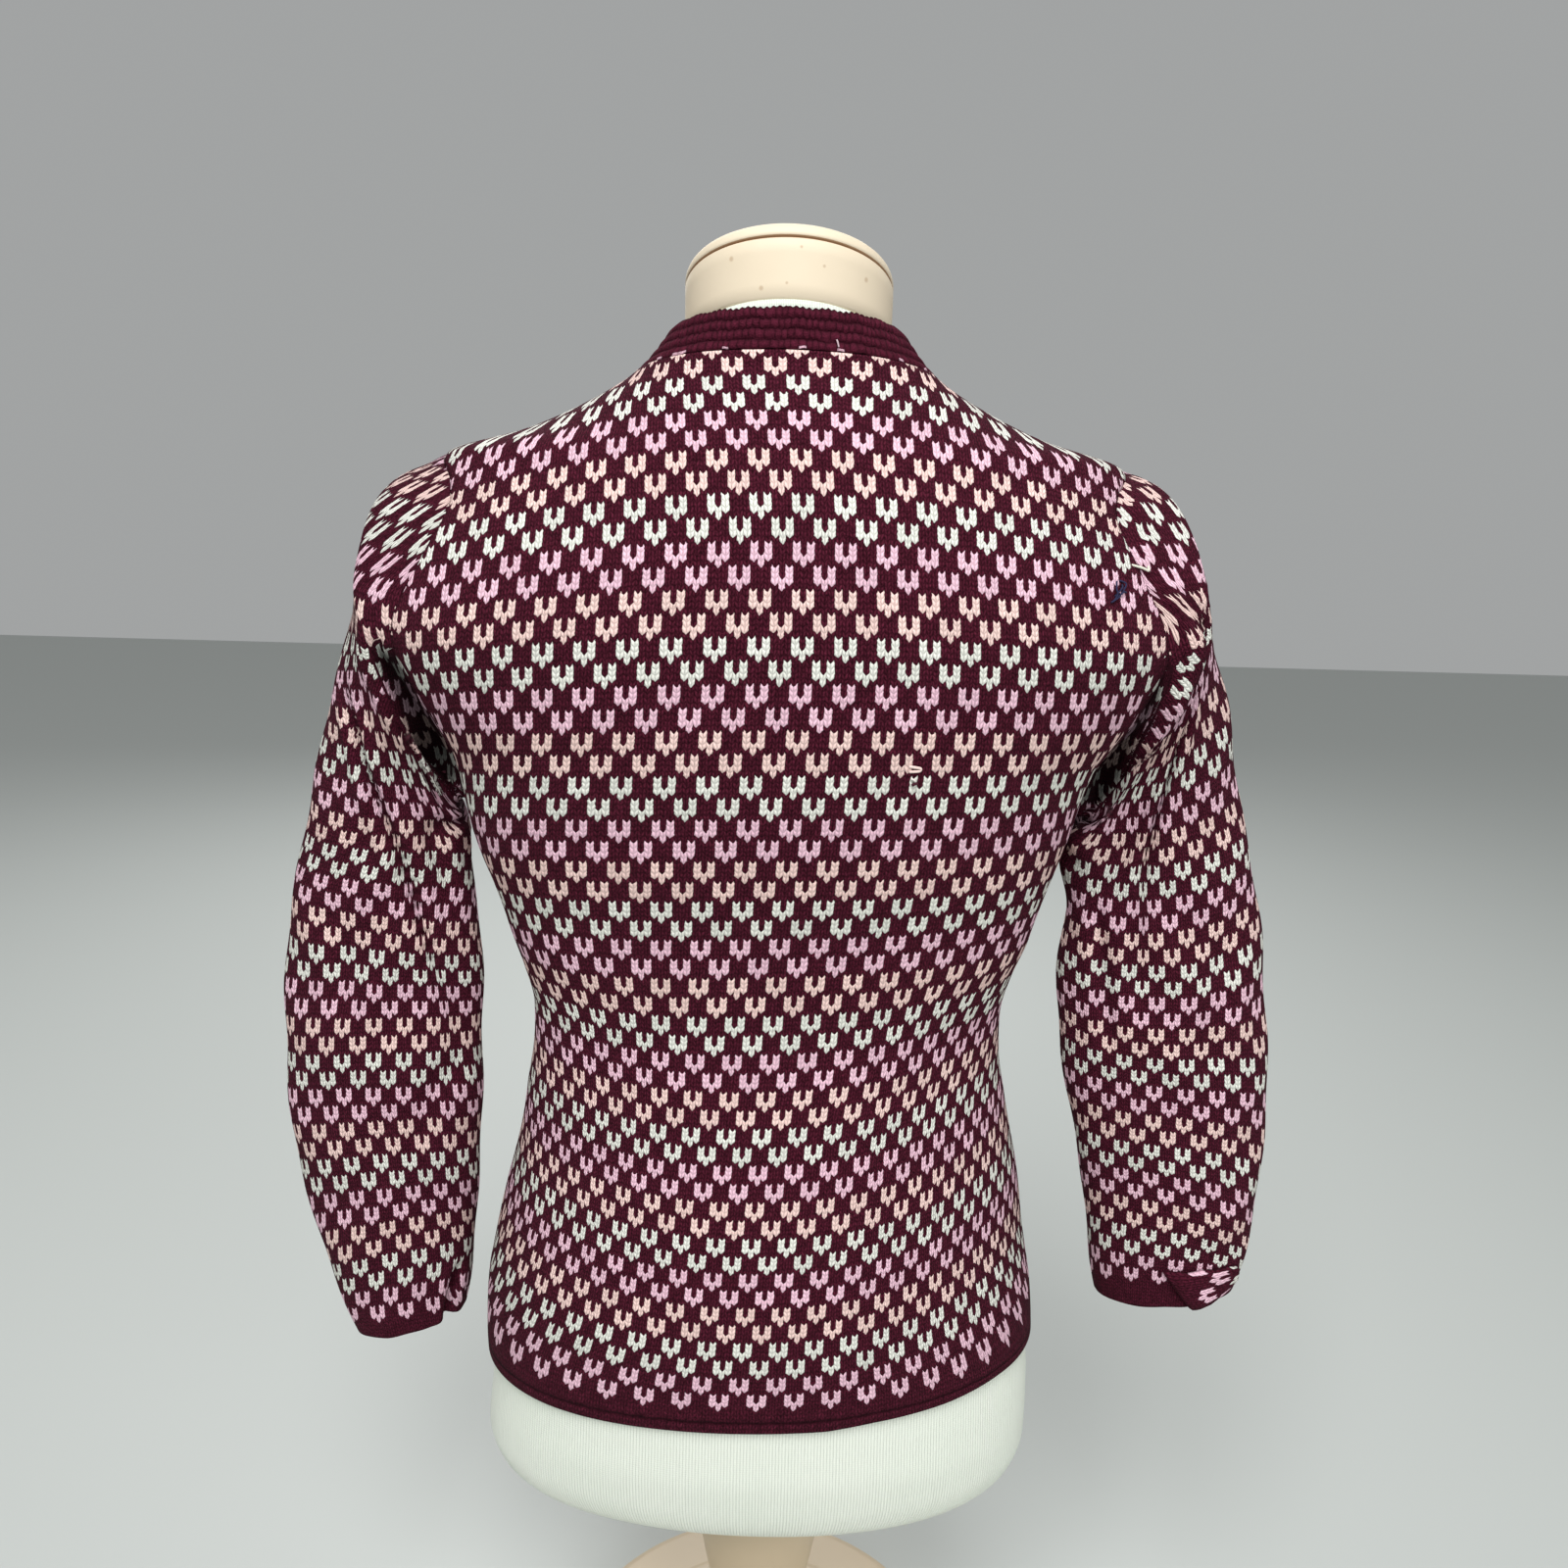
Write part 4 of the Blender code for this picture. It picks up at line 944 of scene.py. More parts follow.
def cream_material():
    """Satin cream plastic with a few brown specks and a brown line under the lid."""
    made = Recipe("cream_plastic_satin", 0.60)
    place = made.out("TexCoord", output="Object")
    _, y, z = made.split(place)
    above = z - y * math.tan(NECK_CUT_TILT)
    from_joint = abs(above - (NECK_CUT_HEIGHT + CAP_HEIGHT + 0.0001))
    colour = made.mix(made.noise(30.0, 3.0), (0.72, 0.61, 0.45), (0.77, 0.66, 0.50))
    for across, height, size in SPECKS:
        centre = (across, math.sqrt(NECK_RADIUS ** 2 - across ** 2), height)
        away = made.out("VectorMath", {0: place, 1: centre}, "Value", operation="DISTANCE")
        mark = made.map_range(away, size, size * 0.3, 0.0, 0.5, "SMOOTHSTEP")
        colour = made.mix(mark, colour, (0.42, 0.26, 0.13))
    made.colour(made.mix((from_joint < 0.0008) * 0.85, colour, (0.33, 0.17, 0.07)))
    satin(made, 900.0, 0.12, 0.56)
    return made.material


def satin(made, scale, gain, start):
    """A fine grain that varies the roughness of plastic."""
    grain = made.noise(scale, 2.0)
    made.link(grain.line(gain, start), made.inputs["Roughness"])
    made.bump(grain, 0.00004, 0.5)


def beige_material():
    """Satin beige plastic, a little cloudy and rubbed."""
    made = Recipe("beige_plastic_satin", 0.42)
    made.colour(made.mix(made.noise(18.0, 4.0), (0.57, 0.46, 0.31), (0.66, 0.53, 0.37)))
    satin(made, 700.0, 0.15, 0.36)
    return made.material


def button_material():
    """Dark burgundy button plastic with a faint swirl."""
    made = Recipe("burgundy_button_plastic", 0.28)
    swirl = made.noise(320.0, 3.0)
    made.colour(made.mix(swirl, (0.040, 0.004, 0.012), (0.095, 0.012, 0.030)))
    made.link(swirl.line(0.15, 0.20), made.inputs["Roughness"])
    return made.material


def thread_material(name, roughness, scale, dark, light):
    """Twisted thread or yarn."""
    made = Recipe(name, roughness)
    twist = made.noise(scale, 2.0)
    made.colour(made.mix(twist, dark, light))
    made.bump(twist, 0.0001)
    return made.material


# Brown specks on the neck piece: X, height and radius.
SPECKS = (
    (0.0284, 0.9641, 0.0017),
    (0.0134, 0.9502, 0.0016),
    (0.001, 0.9526, 0.001),
    (-0.0057, 0.969, 0.001),
    (-0.017, 0.961, 0.0011),
    (-0.0382, 0.9575, 0.0018),
)

# The flat cut of each knitted piece: width, length and area, and what it rests on.
SHEETS = {
    "back": (0.450, 0.632, 0.2394, ["torso_cover"]),
    "left_front": (0.242, 0.630, 0.1133, ["torso_cover"]),
    "right_front": (0.242, 0.619, 0.1112, ["torso_cover"]),
    "left_sleeve": (0.345, 0.588, 0.1348, ["back_knit", "left_front_knit"]),
    "right_sleeve": (0.345, 0.538, 0.1283, ["back_knit", "right_front_knit"]),
    "neckband": (0.478, 0.031, 0.0113, ["back_knit", "left_front_knit"]),
    "left_button_band": (0.0280, 0.549, None, ["left_front_knit"]),
    "right_button_band": (0.0310, 0.550, None, ["right_front_knit"]),
}

# Loose yarn on the garment: name, colour, radius, place and normal of the surface there, and
# strands as points given by their way to +X, up and out from the place, in millimetres.
LOOSE_YARN = (
    ("caught_blue_thread", (0.016, 0.017, 0.062), 0.00045, (-0.1676, 0.07, 0.8112),
     (-0.45, 0.83, 0.33), (
         ((4.1, -6.2, 0.4), (2.1, -2.9, 2), (2.4, 0, 2.2), (-0.3, 4.1, 0.4)),
         ((2.1, -4.7, 0.4), (-2.1, -1.8, 2), (-5.3, -1.5, 0.4)),
         ((-0.3, -3.5, 0.4), (-3.2, 0, 1.8), (-4.7, 2.6, 1.8), (-2.1, 4.7, 0.4)),
         ((2.6, -3.5, 0.4), (-0.9, 0, 2.4), (-3.5, 2.4, 0.4)),
         ((5.6, -6.5, 0.4), (2.1, -4.7, 1.4), (-0.9, -3.5, 0.4)))),
    ("pulled_mint_loop", (0.74, 0.74, 0.62), 0.00065, (-0.1828, 0.0562, 0.8214),
     (-0.23, 0.89, 0.39), (
         ((8.4, 2.2, 0.2), (1.9, -0.3, 2.2), (-1, -1.6, 2.4), (-2.6, -1.9, 2),
          (-3.4, 0.8, 0.6)),)),
    ("snagged_peach_loop", (0.84, 0.65, 0.6), 0.00072, (-0.069, 0.0957, 0.7275),
     (-0.15, 0.98, -0.14), (
         ((3.4, -3.7, 0.1), (0, -4, 0.8), (-2.5, -4.6, 0.8), (-2.1, -5.8, 0.8),
          (0, -6.1, 0.8), (3, -6.5, 0.1)),)),
    ("snagged_mint_stitch", (0.84, 0.78, 0.73), 0.00048, (-0.0705, 0.0938, 0.715),
     (-0.17, 0.97, -0.16), (
         ((3.6, 2.4, 0.1), (2.4, 2.2, 0.8), (1.3, 1, 0.6)),)),
    ("pulled_burgundy_stitch", (0.06, 0.008, 0.018), 0.0008, (-0.0705, 0.0938, 0.715),
     (-0.17, 0.97, -0.16), (
         ((0.2, 0, 0.1), (1.8, -0.1, 0.7), (2.6, -1, 0.1)),)),
    ("pilled_mint_fluff", (0.8, 0.8, 0.75), 0.001, (0.0069, 0.0742, 0.8951),
     (0.07, 0.83, 0.55), (
         ((1.9, 1.6, 0), (1.7, -1.4, 0.3), (0.6, -3.6, 0)),)),
    ("white_tuft_by_the_neckband", (0.62, 0.46, 0.5), 0.0004, (-0.0245, 0.056, 0.925),
     (-0.3, 0.8, 0.45), (
         ((-0.4, -1.6, 0), (0.1, 0.4, 0.8), (0.5, 1.8, 1)),)),
)


# ---------------------------------------------------------------- the body's pieces
def build_panel(name, turns, heights, lay, materials):
    """One knitted panel on the body's surface."""
    levels = leaned(turns, heights)
    above_hem = levels - leaned_hem(turns)
    drop = np.interp(turns, *zip(*HEM_DROP)) * (1 - ramp(above_hem, 0.0, HEM_ROUND))
    outer, normals = surface(turns, levels - drop)
    outer[..., 0] += np.sign(outer[..., 0]) * side_shift(outer)
    inner = outer - normals * WALL
    # Painted shade on the panel beside the lower part of each armhole, where the armpit fold would
    # shade it.
    fold = np.zeros(turns.shape)
    for edge in ((0, -1) if name == "back" else (-1,)):
        beside_armhole = ramp(heights[:, edge], UNDERARM_HEIGHT - 0.012, UNDERARM_HEIGHT + 0.006)
        dark = painted_seam_shade(length(outer - outer[:, edge][:, None]), heights[:, edge][:, None])
        fold += beside_armhole[:, None] * dark
    piece = add_knit(name, outer, inner, lay(turns, levels), materials, first_roll=EDGE_ROLL,
                     fold=fold)
    return piece, outer, inner


def painted_seam_shade(away, height):
    """How much painted shade the knitting gets beside an armpit fold's seam, by the distance from
    it.
    """
    below_cap = 1 - ramp(height, SEAM_PAINTED_SHADE_LOW, SEAM_PAINTED_SHADE_HIGH)
    return SEAM_PAINTED_SHADE * below_cap * np.exp(-(away / SEAM_PAINTED_SHADE_WIDTH) ** 2)


def across_centre(grid, sign):
    """A half panel's grid and its mirror image, side by side."""
    return np.concatenate((sign * grid[:, :0:-1], grid), axis=1)


def armhole_loop(back, front):
    """Outer and inner points round an armhole, from the underarm up the back edge.

    Each panel is given as its last two columns, edge last, outer and inner.
    """
    loops = []
    for panels in zip(back, front):
        rising = []
        for panel in panels:
            edge = panel[BODY_ROWS:, -1]
            along = unit(np.gradient(edge, axis=0))
            outward = edge - panel[BODY_ROWS:, -2]
            outward = unit(outward - along * (outward * along).sum(axis=-1, keepdims=True))
            rising.append(edge + outward * ARMHOLE_GAP)
        up_back, up_front = rising
        underarm, shoulder = ((up_back[end] + up_front[end]) / 2 for end in (0, -1))
        underarm = underarm + np.array((np.sign(up_back[0, 0]), 0.0, 1.0)) * ARMHOLE_GAP
        loops.append(np.concatenate(([underarm], up_back[1:-1], [shoulder], up_front[-2:0:-1])))
    return loops


def ring_angles():
    """Angles round a sleeve at its mesh columns, and the same counted down again on the front."""
    rising = np.arccos(1 - 2 * armhole_shares())
    angles = np.concatenate((rising, 2 * math.pi - rising[-2:0:-1]))
    return angles, np.minimum(angles, 2 * math.pi - angles)


def sleeve_rings(table, side):
    """Outer points of the rings below the armhole, each from its inner point round the back."""
    angles, folded = ring_angles()
    dent = np.exp(-((folded - PINCH_TURN) / PINCH_TURN) ** 2)
    swing = (1 - np.cos(angles)) / 2
    rings = []
    for points, (bow, half, middle, pinch) in zip(table, SLEEVE_RINGS):
        inner_x, inner_z, outer_x, outer_z = points
        across_x = inner_x + (outer_x - inner_x) * swing + bow * np.sin(angles) ** 2
        across_z = inner_z + (outer_z - inner_z) * swing
        bulge = half * np.sin(angles) * (1 - pinch * dent)
        rings.append(np.stack((side * across_x, middle + bulge, across_z), axis=-1))
    return np.array(rings)


def drawn_through(rings, count):
    """Rings spaced along smooth curves through the given ones."""
    place = np.linspace(0.0, len(rings) - 1.0, count)
    cell = np.clip(place.astype(int), 0, len(rings) - 2)
    part = (place - cell)[:, None, None]
    padded = np.concatenate((2 * rings[:1] - rings[1:2], rings, 2 * rings[-1:] - rings[-2:-1]))
    before, start, end, after = (padded[cell + step] for step in range(4))
    return 0.5 * (2 * start + (end - before) * part
                  + (2 * before - 5 * start + 4 * end - after) * part ** 2
                  + (3 * start - before - 3 * end + after) * part ** 3), place


def tube_normals(grid, side):
    """Unit normals of a ring grid, pointing out of the tube."""
    around = np.roll(grid, -1, axis=1) - np.roll(grid, 1, axis=1)
    along = np.gradient(grid, axis=0)
    return unit(np.cross(around, along)) * side


def build_sleeve(name, table, lay, creases, loops, side, materials):
    """One set-in sleeve hanging from its armhole, open at the cuff."""
    outer_loop, inner_loop = loops
    rings = np.concatenate((outer_loop[None], sleeve_rings(table, side)))
    plain, place = drawn_through(rings, SLEEVE_ROWS)
    from_cuff, around = sleeve_places(plain)
    from_seam = (from_cuff[0] - from_cuff)[:, :-1]
    lift = (crease_lift(from_cuff, around, creases) + unevenness(from_cuff, around))[:, :-1]
    lift *= ramp(from_seam, 0.0, SEAM_HOLD)
    bulge, below, spread = ARMPIT_BULGE[side]
    turned = ring_angles()[1] / ARMPIT_SPREAD
    lift += bulge * np.exp(-((from_seam - below) / spread) ** 2 - turned ** 2)
    outer = plain + tube_normals(plain, side) * lift[..., None]
    inner = outer - tube_normals(outer, side) * WALL
    # The inner face meets the panels' inner faces, except where the seam turns sharply.
    height = (outer_loop[:, 2:] - UNDERARM_HEIGHT) / (SHOULDER_HEIGHT - UNDERARM_HEIGHT)
    shift = (inner_loop - inner[0]) * np.clip((height - FOLD_TOP) / FOLD_FADE, 0.0, 1.0)
    inner += (1 - ramp(place, 0.0, 0.8)[:, None, None]) * shift
    # Painted shade: darkest deep in the armpit fold, and in a strip beside the armhole seam.
    armpit = -crease_lift(from_cuff, around, creases[:1])[:, :-1]
    fold = np.maximum(ramp(armpit, *DEEP_FOLD), painted_seam_shade(from_seam, outer[0, :, 2]))
    places = sleeve_lay(from_cuff, around, lay, creases[LONG_CREASE])
    places = carried_over_cap(places, plain, from_cuff, side)
    # Inside the deep fold the stitches are even and upright, counted from its deepest place.
    row, column = np.unravel_index(np.argmax(armpit[:, :ARMHOLE_ROWS]), (len(armpit), ARMHOLE_ROWS))
    own_lay = places[row, column] + (outer - outer[row, column])[..., ::2] / (FOLD_STITCH, FOLD_ROW)
    places = np.where(wrapped(fold)[..., None] > 0.25, wrapped(own_lay), places)
    piece = add_knit(name, outer, inner, places, materials, closed=True, last_roll=EDGE_ROLL,
                     fold=fold)
    return piece, outer


def sleeve_places(outer):
    """Distance from the cuff and way out from the middle of the back, one column wider."""
    from_cuff = summed(length(np.diff(outer[::-1], axis=0)).T).T[::-1]
    around = summed(length(np.roll(outer, -1, axis=1) - outer))
    quarter = ARMHOLE_ROWS // 2
    return wrapped(from_cuff), around - around[:, quarter:quarter + 1]


def sleeve_lay(from_cuff, around, table, long_crease):
    """Stitch and row numbers on a sleeve. The rows of its front mirror those of its back."""
    row, lean, droop, centre, repeats, spread, hidden = looked_up(table, from_cuff)
    columns = np.arange(around.shape[1])
    mirrored = np.where(columns > ARMHOLE_ROWS, 2 * ARMHOLE_ROWS - columns, columns)
    limit = SLEEVE_LIMIT + (CAP_LIMIT - SLEEVE_LIMIT) * ramp(from_cuff, CAP_LOW, CAP_HIGH)
    out = np.clip(around[:, mirrored] / SLEEVE_SPAN, -limit, limit)
    edge = around[:, ARMHOLE_ROWS:ARMHOLE_ROWS + 1]
    within = np.minimum(around, edge) / SLEEVE_SPAN
    repeat = (centre + repeats * within + spread * np.clip(within, -limit, limit) ** 2
              + np.maximum(around - edge, 0.0) / FRONT_REPEAT)
    # From column to column the repeats are neither stretched nor gathered too much.
    spans = np.diff(around, axis=1) / SLEEVE_SPAN
    free = ramp(around, 0.0, 0.025) * ramp(from_cuff, 0.40, 0.46)
    fewest = FEWEST + (FEWEST_ON_CAP - FEWEST) * free[:, 1:]
    counted = summed(np.clip(np.diff(repeat, axis=1), fewest * spans, MOST * spans))
    middle = slice(ARMHOLE_ROWS // 2, ARMHOLE_ROWS // 2 + 1)
    repeat = counted - counted[:, middle] + repeat[:, middle]
    levels, ways = crease_path(long_crease)
    beyond = around - np.interp(from_cuff, levels[::-1], ways[::-1])
    repeat += hidden * (1 + np.tanh(beyond / HIDE_WIDTH)) / 2
    return knit_place(repeat + 0.5, row + lean * out + droop * out ** 2)


def carried_over_cap(places, outer, from_cuff, side):
    """The lay of the arm's knitting carried on over the cap without stretching it."""
    normals, outer = wrapped(tube_normals(outer, side)), wrapped(outer)
    start, tilt, bunched = CARRY_FROM[side]
    first = int(np.argmax(from_cuff[:, ARMHOLE_ROWS // 2] < start))
    steps = np.gradient(outer[first], axis=0)
    along = unit(steps)
    upward = np.cross(along, normals[first]) * side
    change = np.gradient(places[first], axis=0) / length(steps)[:, None]
    angle = np.arctan2(change[:, 1] * MOTIF_PITCH / ROWS, change[:, 0] * CAP_REPEAT / STITCHES)
    angle = np.convolve(np.pad(angle, 12, mode="edge"), np.full(25, 1 / 25), mode="valid")
    own = np.cos(angle)[:, None] * upward + np.sin(angle)[:, None] * along
    carried = places.copy()
    for row in range(first, 0, -1):
        step = outer[row - 1] - outer[row]
        share = ramp(from_cuff[row] - start, 0.0, 0.030)[:, None]
        knit_up = own * (1 - share) + np.array([tilt, 0.0, 1.0]) * share
        knit_up = unit(knit_up - normals[row] * np.sum(knit_up * normals[row], axis=-1)[:, None])
        aside = np.cross(normals[row], knit_up) * side
        stitches = np.sum(step * aside, axis=-1) / CAP_REPEAT * STITCHES
        rows = np.sum(step * knit_up, axis=-1) / MOTIF_PITCH * ROWS
        carried[row - 1] = carried[row] + np.stack((stitches, rows), axis=-1)
    carried[..., 1] += bunched * ROWS * ramp(from_cuff - start, 0.0, 0.026)
    return carried


def curve(share, start, bend, end):
    """Places along a curve that sets off from the start towards the bend."""
    return (1 - share) ** 2 * start + 2 * share * (1 - share) * bend + share ** 2 * end


CREASE_PARTS = np.linspace(0.0, 1.0, 33)


def crease_path(crease):
    """Distances from the cuff and ways out along a crease, from its upper end."""
    return [curve(CREASE_PARTS, start, 2 * middle - (start + end) / 2, end)
            for start, middle, end in (crease[:6:2], crease[1:6:2])]


def crease_lift(from_cuff, around, creases):
    """How far the creases raise each point of a sleeve."""
    total = np.zeros(from_cuff.shape)
    girth = around[:, -1:] - around[:, :1]
    for crease in creases:
        width, depth, ridge = crease[6:]
        best = np.full(from_cuff.shape, 1.0)
        place = np.zeros(from_cuff.shape)
        for part, level, way in zip(CREASE_PARTS, *crease_path(crease)):
            aside = around - way
            away = np.hypot(from_cuff - level, aside - girth * np.round(aside / girth))
            place = np.where(away < best, part, place)
            best = np.minimum(away, best)
        strength = ramp(place, 0.0, CREASE_FADE) * (1 - ramp(place, 1 - CREASE_FADE, 1.0))
        shoulders = ridge * np.exp(-((best - 2.1 * width) / width) ** 2)
        total += strength * (shoulders - depth * np.exp(-(best / width) ** 2))
    return total


def sleeve_point(outer, normals, from_cuff, way):
    """Point and normal of a sleeve's outer face; short of the cuff's edge, on past it."""
    levels, ways = sleeve_places(outer)
    row, column = len(outer) - 1, ARMHOLE_ROWS // 2
    for _ in range(4):
        row = int(np.argmin(np.abs(levels[:, column] - max(from_cuff, 0.0))))
        column = int(np.argmin(np.abs(ways[row, :-1] - way)))
    onward = unit(outer[-1, column] - outer[-3, column])
    return outer[row, column] - onward * min(from_cuff, 0.0), normals[row, column]


def build_turned_cuff(outer, side, materials):
    """The corner of the right cuff that is turned up, with its edge rolled."""
    across = np.linspace(0.0, 1.0, FLAP_COLUMNS)[:, None, None]
    down = np.linspace(0.0, 1.0, FLAP_ROWS)[None, :, None]
    top_near, low_near, top_far, low_far = np.array(FLAP_CORNERS)
    near = top_near + (low_near - top_near) * down
    far = top_far + (low_far - top_far) * down
    places = near + (far - near) * across
    places = places + np.array((-0.0030, 0.0)) * np.sin(math.pi * across) * down
    normals = tube_normals(outer, side)
    seats = np.array([[sleeve_point(outer, normals, *place) for place in line] for line in places])
    base, out = seats[:, :, 0], seats[:, :, 1]
    for _ in range(3):
        for grid in (base, out):
            grid[1:-1] = (grid[:-2] + 2 * grid[1:-1] + grid[2:]) / 4
            grid[:, 1:-1] = (grid[:, :-2] + 2 * grid[:, 1:-1] + grid[:, 2:]) / 4
    roll = np.sqrt(1 - (1 - np.clip(across / 0.22, 0.0, 1.0)) ** 2)
    height = FLAP_LIFT * (0.25 + 0.75 * roll) * (1 - 0.55 * across)
    height = height * (1 - 0.45 * (2 * down - 1) ** 4)
    face = base + unit(out) * height
    under = base + unit(out) * np.maximum(height - WALL, 0.0006)
    lay = np.stack(np.broadcast_arrays(1.5 + 7.5 * (down[..., 0] - 0.25),
                                       -2.9 + 13.5 * across[..., 0]), axis=-1)
    return add_knit("right_cuff_corner", face, under, lay, materials, first_roll=0.0010)


def unevenness(from_cuff, around):
    """Shallow swells of cloth that hangs a little slack."""
    around = around * 2 * math.pi / (around[:, -1:] - around[:, :1])
    swell = (np.sin(from_cuff / 0.0115 + 2.0 * np.sin(3 * around) + 1.3 * np.sin(around))
             + 0.8 * np.sin(from_cuff / 0.0205 - 1.7 * np.sin(2 * around + 1.1)))
    return 0.0007 * swell


def build_knitting():
    """Back, fronts, sleeves, neckband and button bands."""
    wrong_side = floats_material()
    materials = [knit_material("burgundy_knit_body", True), wrong_side]
    sleeve_materials = [knit_material("burgundy_knit_sleeve", False), wrong_side]
    turns, heights = panel_grid("back", 0.0)
    pieces = {}
    pieces["back"], *back = build_panel(
        "back", across_centre(turns, -1.0), across_centre(heights, 1.0), back_lay, materials)
    turns, heights = panel_grid("front", BAND_WIDTH / 2 + SEAM_GAP)
    for side, word, table, sleeve, creases, back_end in (
            (1, "left", LEFT_SLEEVE, LEFT_LAY, LEFT_CREASES, slice(-2, None)),
            (-1, "right", RIGHT_SLEEVE, RIGHT_LAY, RIGHT_CREASES, slice(1, None, -1))):
        pieces[word + "_front"], *front = build_panel(
            word + "_front", side * turns, heights, front_lay, materials)
        loops = armhole_loop([face[:, back_end] for face in back],
                             [face[:, -2:] for face in front])
        pieces[word + "_sleeve"], outer = build_sleeve(
            word + "_sleeve", table, sleeve, creases, loops, side, sleeve_materials)
    corner = build_turned_cuff(outer, side, sleeve_materials)
    ridged = ridged_material()
    pieces["neckband"] = build_neckband(ridged)
    pieces.update(build_bands(heights[:, 0], ridged))


# ---------------------------------------------------------------- neckband, bands, buttons
NECKBAND_ROWS = 33
NECKBAND_COLUMNS = 640
NECKBAND_RIDGES = 4
BAND_COLUMNS = 25
BAND_RIDGES = 5
RIDGE_HEIGHT = 0.0010
NECKBAND_HALF = 0.21       # half the length of the neckband
BAND_STITCH = 0.0038


def ridges(share, count):
    """Rounded ridges across a band, dropping to its edges."""
    waves = np.abs(np.sin(math.pi * count * share)) ** 0.7
    return RIDGE_HEIGHT * (waves - 1.0)


def build_neckband(material):
    """The ridged band round the neck, open between the button bands."""
    share = np.linspace(0.0, 1.0, NECKBAND_ROWS)[:, None]
    even = np.linspace(-1.0, 1.0, NECKBAND_COLUMNS)
    turns = even * 180.0
    for _ in range(3):
        seam = neckline(np.abs(turns))[0] + SEAM_GAP / 2
        end = turn_from_centre("front", BAND_WIDTH / 2 + SEAM_GAP, seam[-1])
        turns = even * end
    rim = neckline(np.abs(turns))[1]
    girth = np.abs(turns) / 180 * NECKBAND_HALF / BAND_STITCH
    rim = rim + 0.0004 * np.sin(2 * math.pi * girth) + 0.0003 * np.sin(girth * 1.3)
    heights = seam + share * (rim - seam)
    ends = turn_from_centre("front", BAND_WIDTH / 2 + SEAM_GAP, heights[:, -1])
    near_end = ramp(np.abs(even), 0.9, 1.0)
    points, normals = surface(turns + np.sign(even) * near_end * (ends[:, None] - end), heights)
    along = summed(length(np.diff(points[0], axis=0))) / BAND_STITCH
    along = along + 0.25 * np.sin(along * 0.61) + 0.2 * np.sin(along * 1.47)
    bend = (0.012 * np.sin(along * 0.9) + 0.008 * np.sin(along * 2.3)) * np.sin(math.pi * share)
    wavy = share + bend
    row = np.floor(wavy * NECKBAND_RIDGES)
    knobs = np.abs(np.sin(math.pi * (along + 0.5 * row))) ** 0.6
    lift = ridges(wavy, NECKBAND_RIDGES) + 0.00035 * (knobs - 1.0) * np.sin(math.pi * share) ** 0.3
    lay = np.stack(np.broadcast_arrays(along, wavy * NECKBAND_RIDGES), axis=-1)
    return add_knit("neckband", points + normals * lift[..., None], points - normals * WALL, lay,
                    [material] * 2, last_roll=EDGE_ROLL)


def build_bands(front_heights, material):
    """The under band on the wearer's left front and the upper band of the right front."""
    bands = {}
    half = BAND_WIDTH / 2
    top = neckline(180.0)[1]
    levels = np.concatenate((front_heights, np.linspace(front_heights[-1], top, 9)[1:]))[:, None]
    share = np.linspace(0.0, 1.0, BAND_COLUMNS)
    for name, low, lift in (("left_button_band", -half, 0.0),
                            ("right_button_band", -half - BAND_LAP, WALL + SEAM_GAP)):
        arcs = low + share * (half - low)
        turns = turn_from_centre("front", np.abs(arcs), levels)
        turns = np.where(arcs >= 0, turns, 360.0 - turns)
        points, normals = surface(turns, leaned(turns, levels * np.ones(BAND_COLUMNS)))
        outer = points + normals * (lift + ridges(share, BAND_RIDGES))[None, :, None]
        lay = np.stack(np.broadcast_arrays(levels / BAND_STITCH, share * BAND_RIDGES), axis=-1)
        bands[name] = add_knit(name, outer, points + normals * (lift - WALL), lay, [material] * 2,
                               first_roll=BAND_ROLL, last_roll=BAND_ROLL)
    return bands


BUTTON_RINGS, BUTTON_SIDES, BUTTON_HOLES = 26, 56, 4
HOLE_OFFSET, HOLE_RADIUS = 0.0019, 0.00085


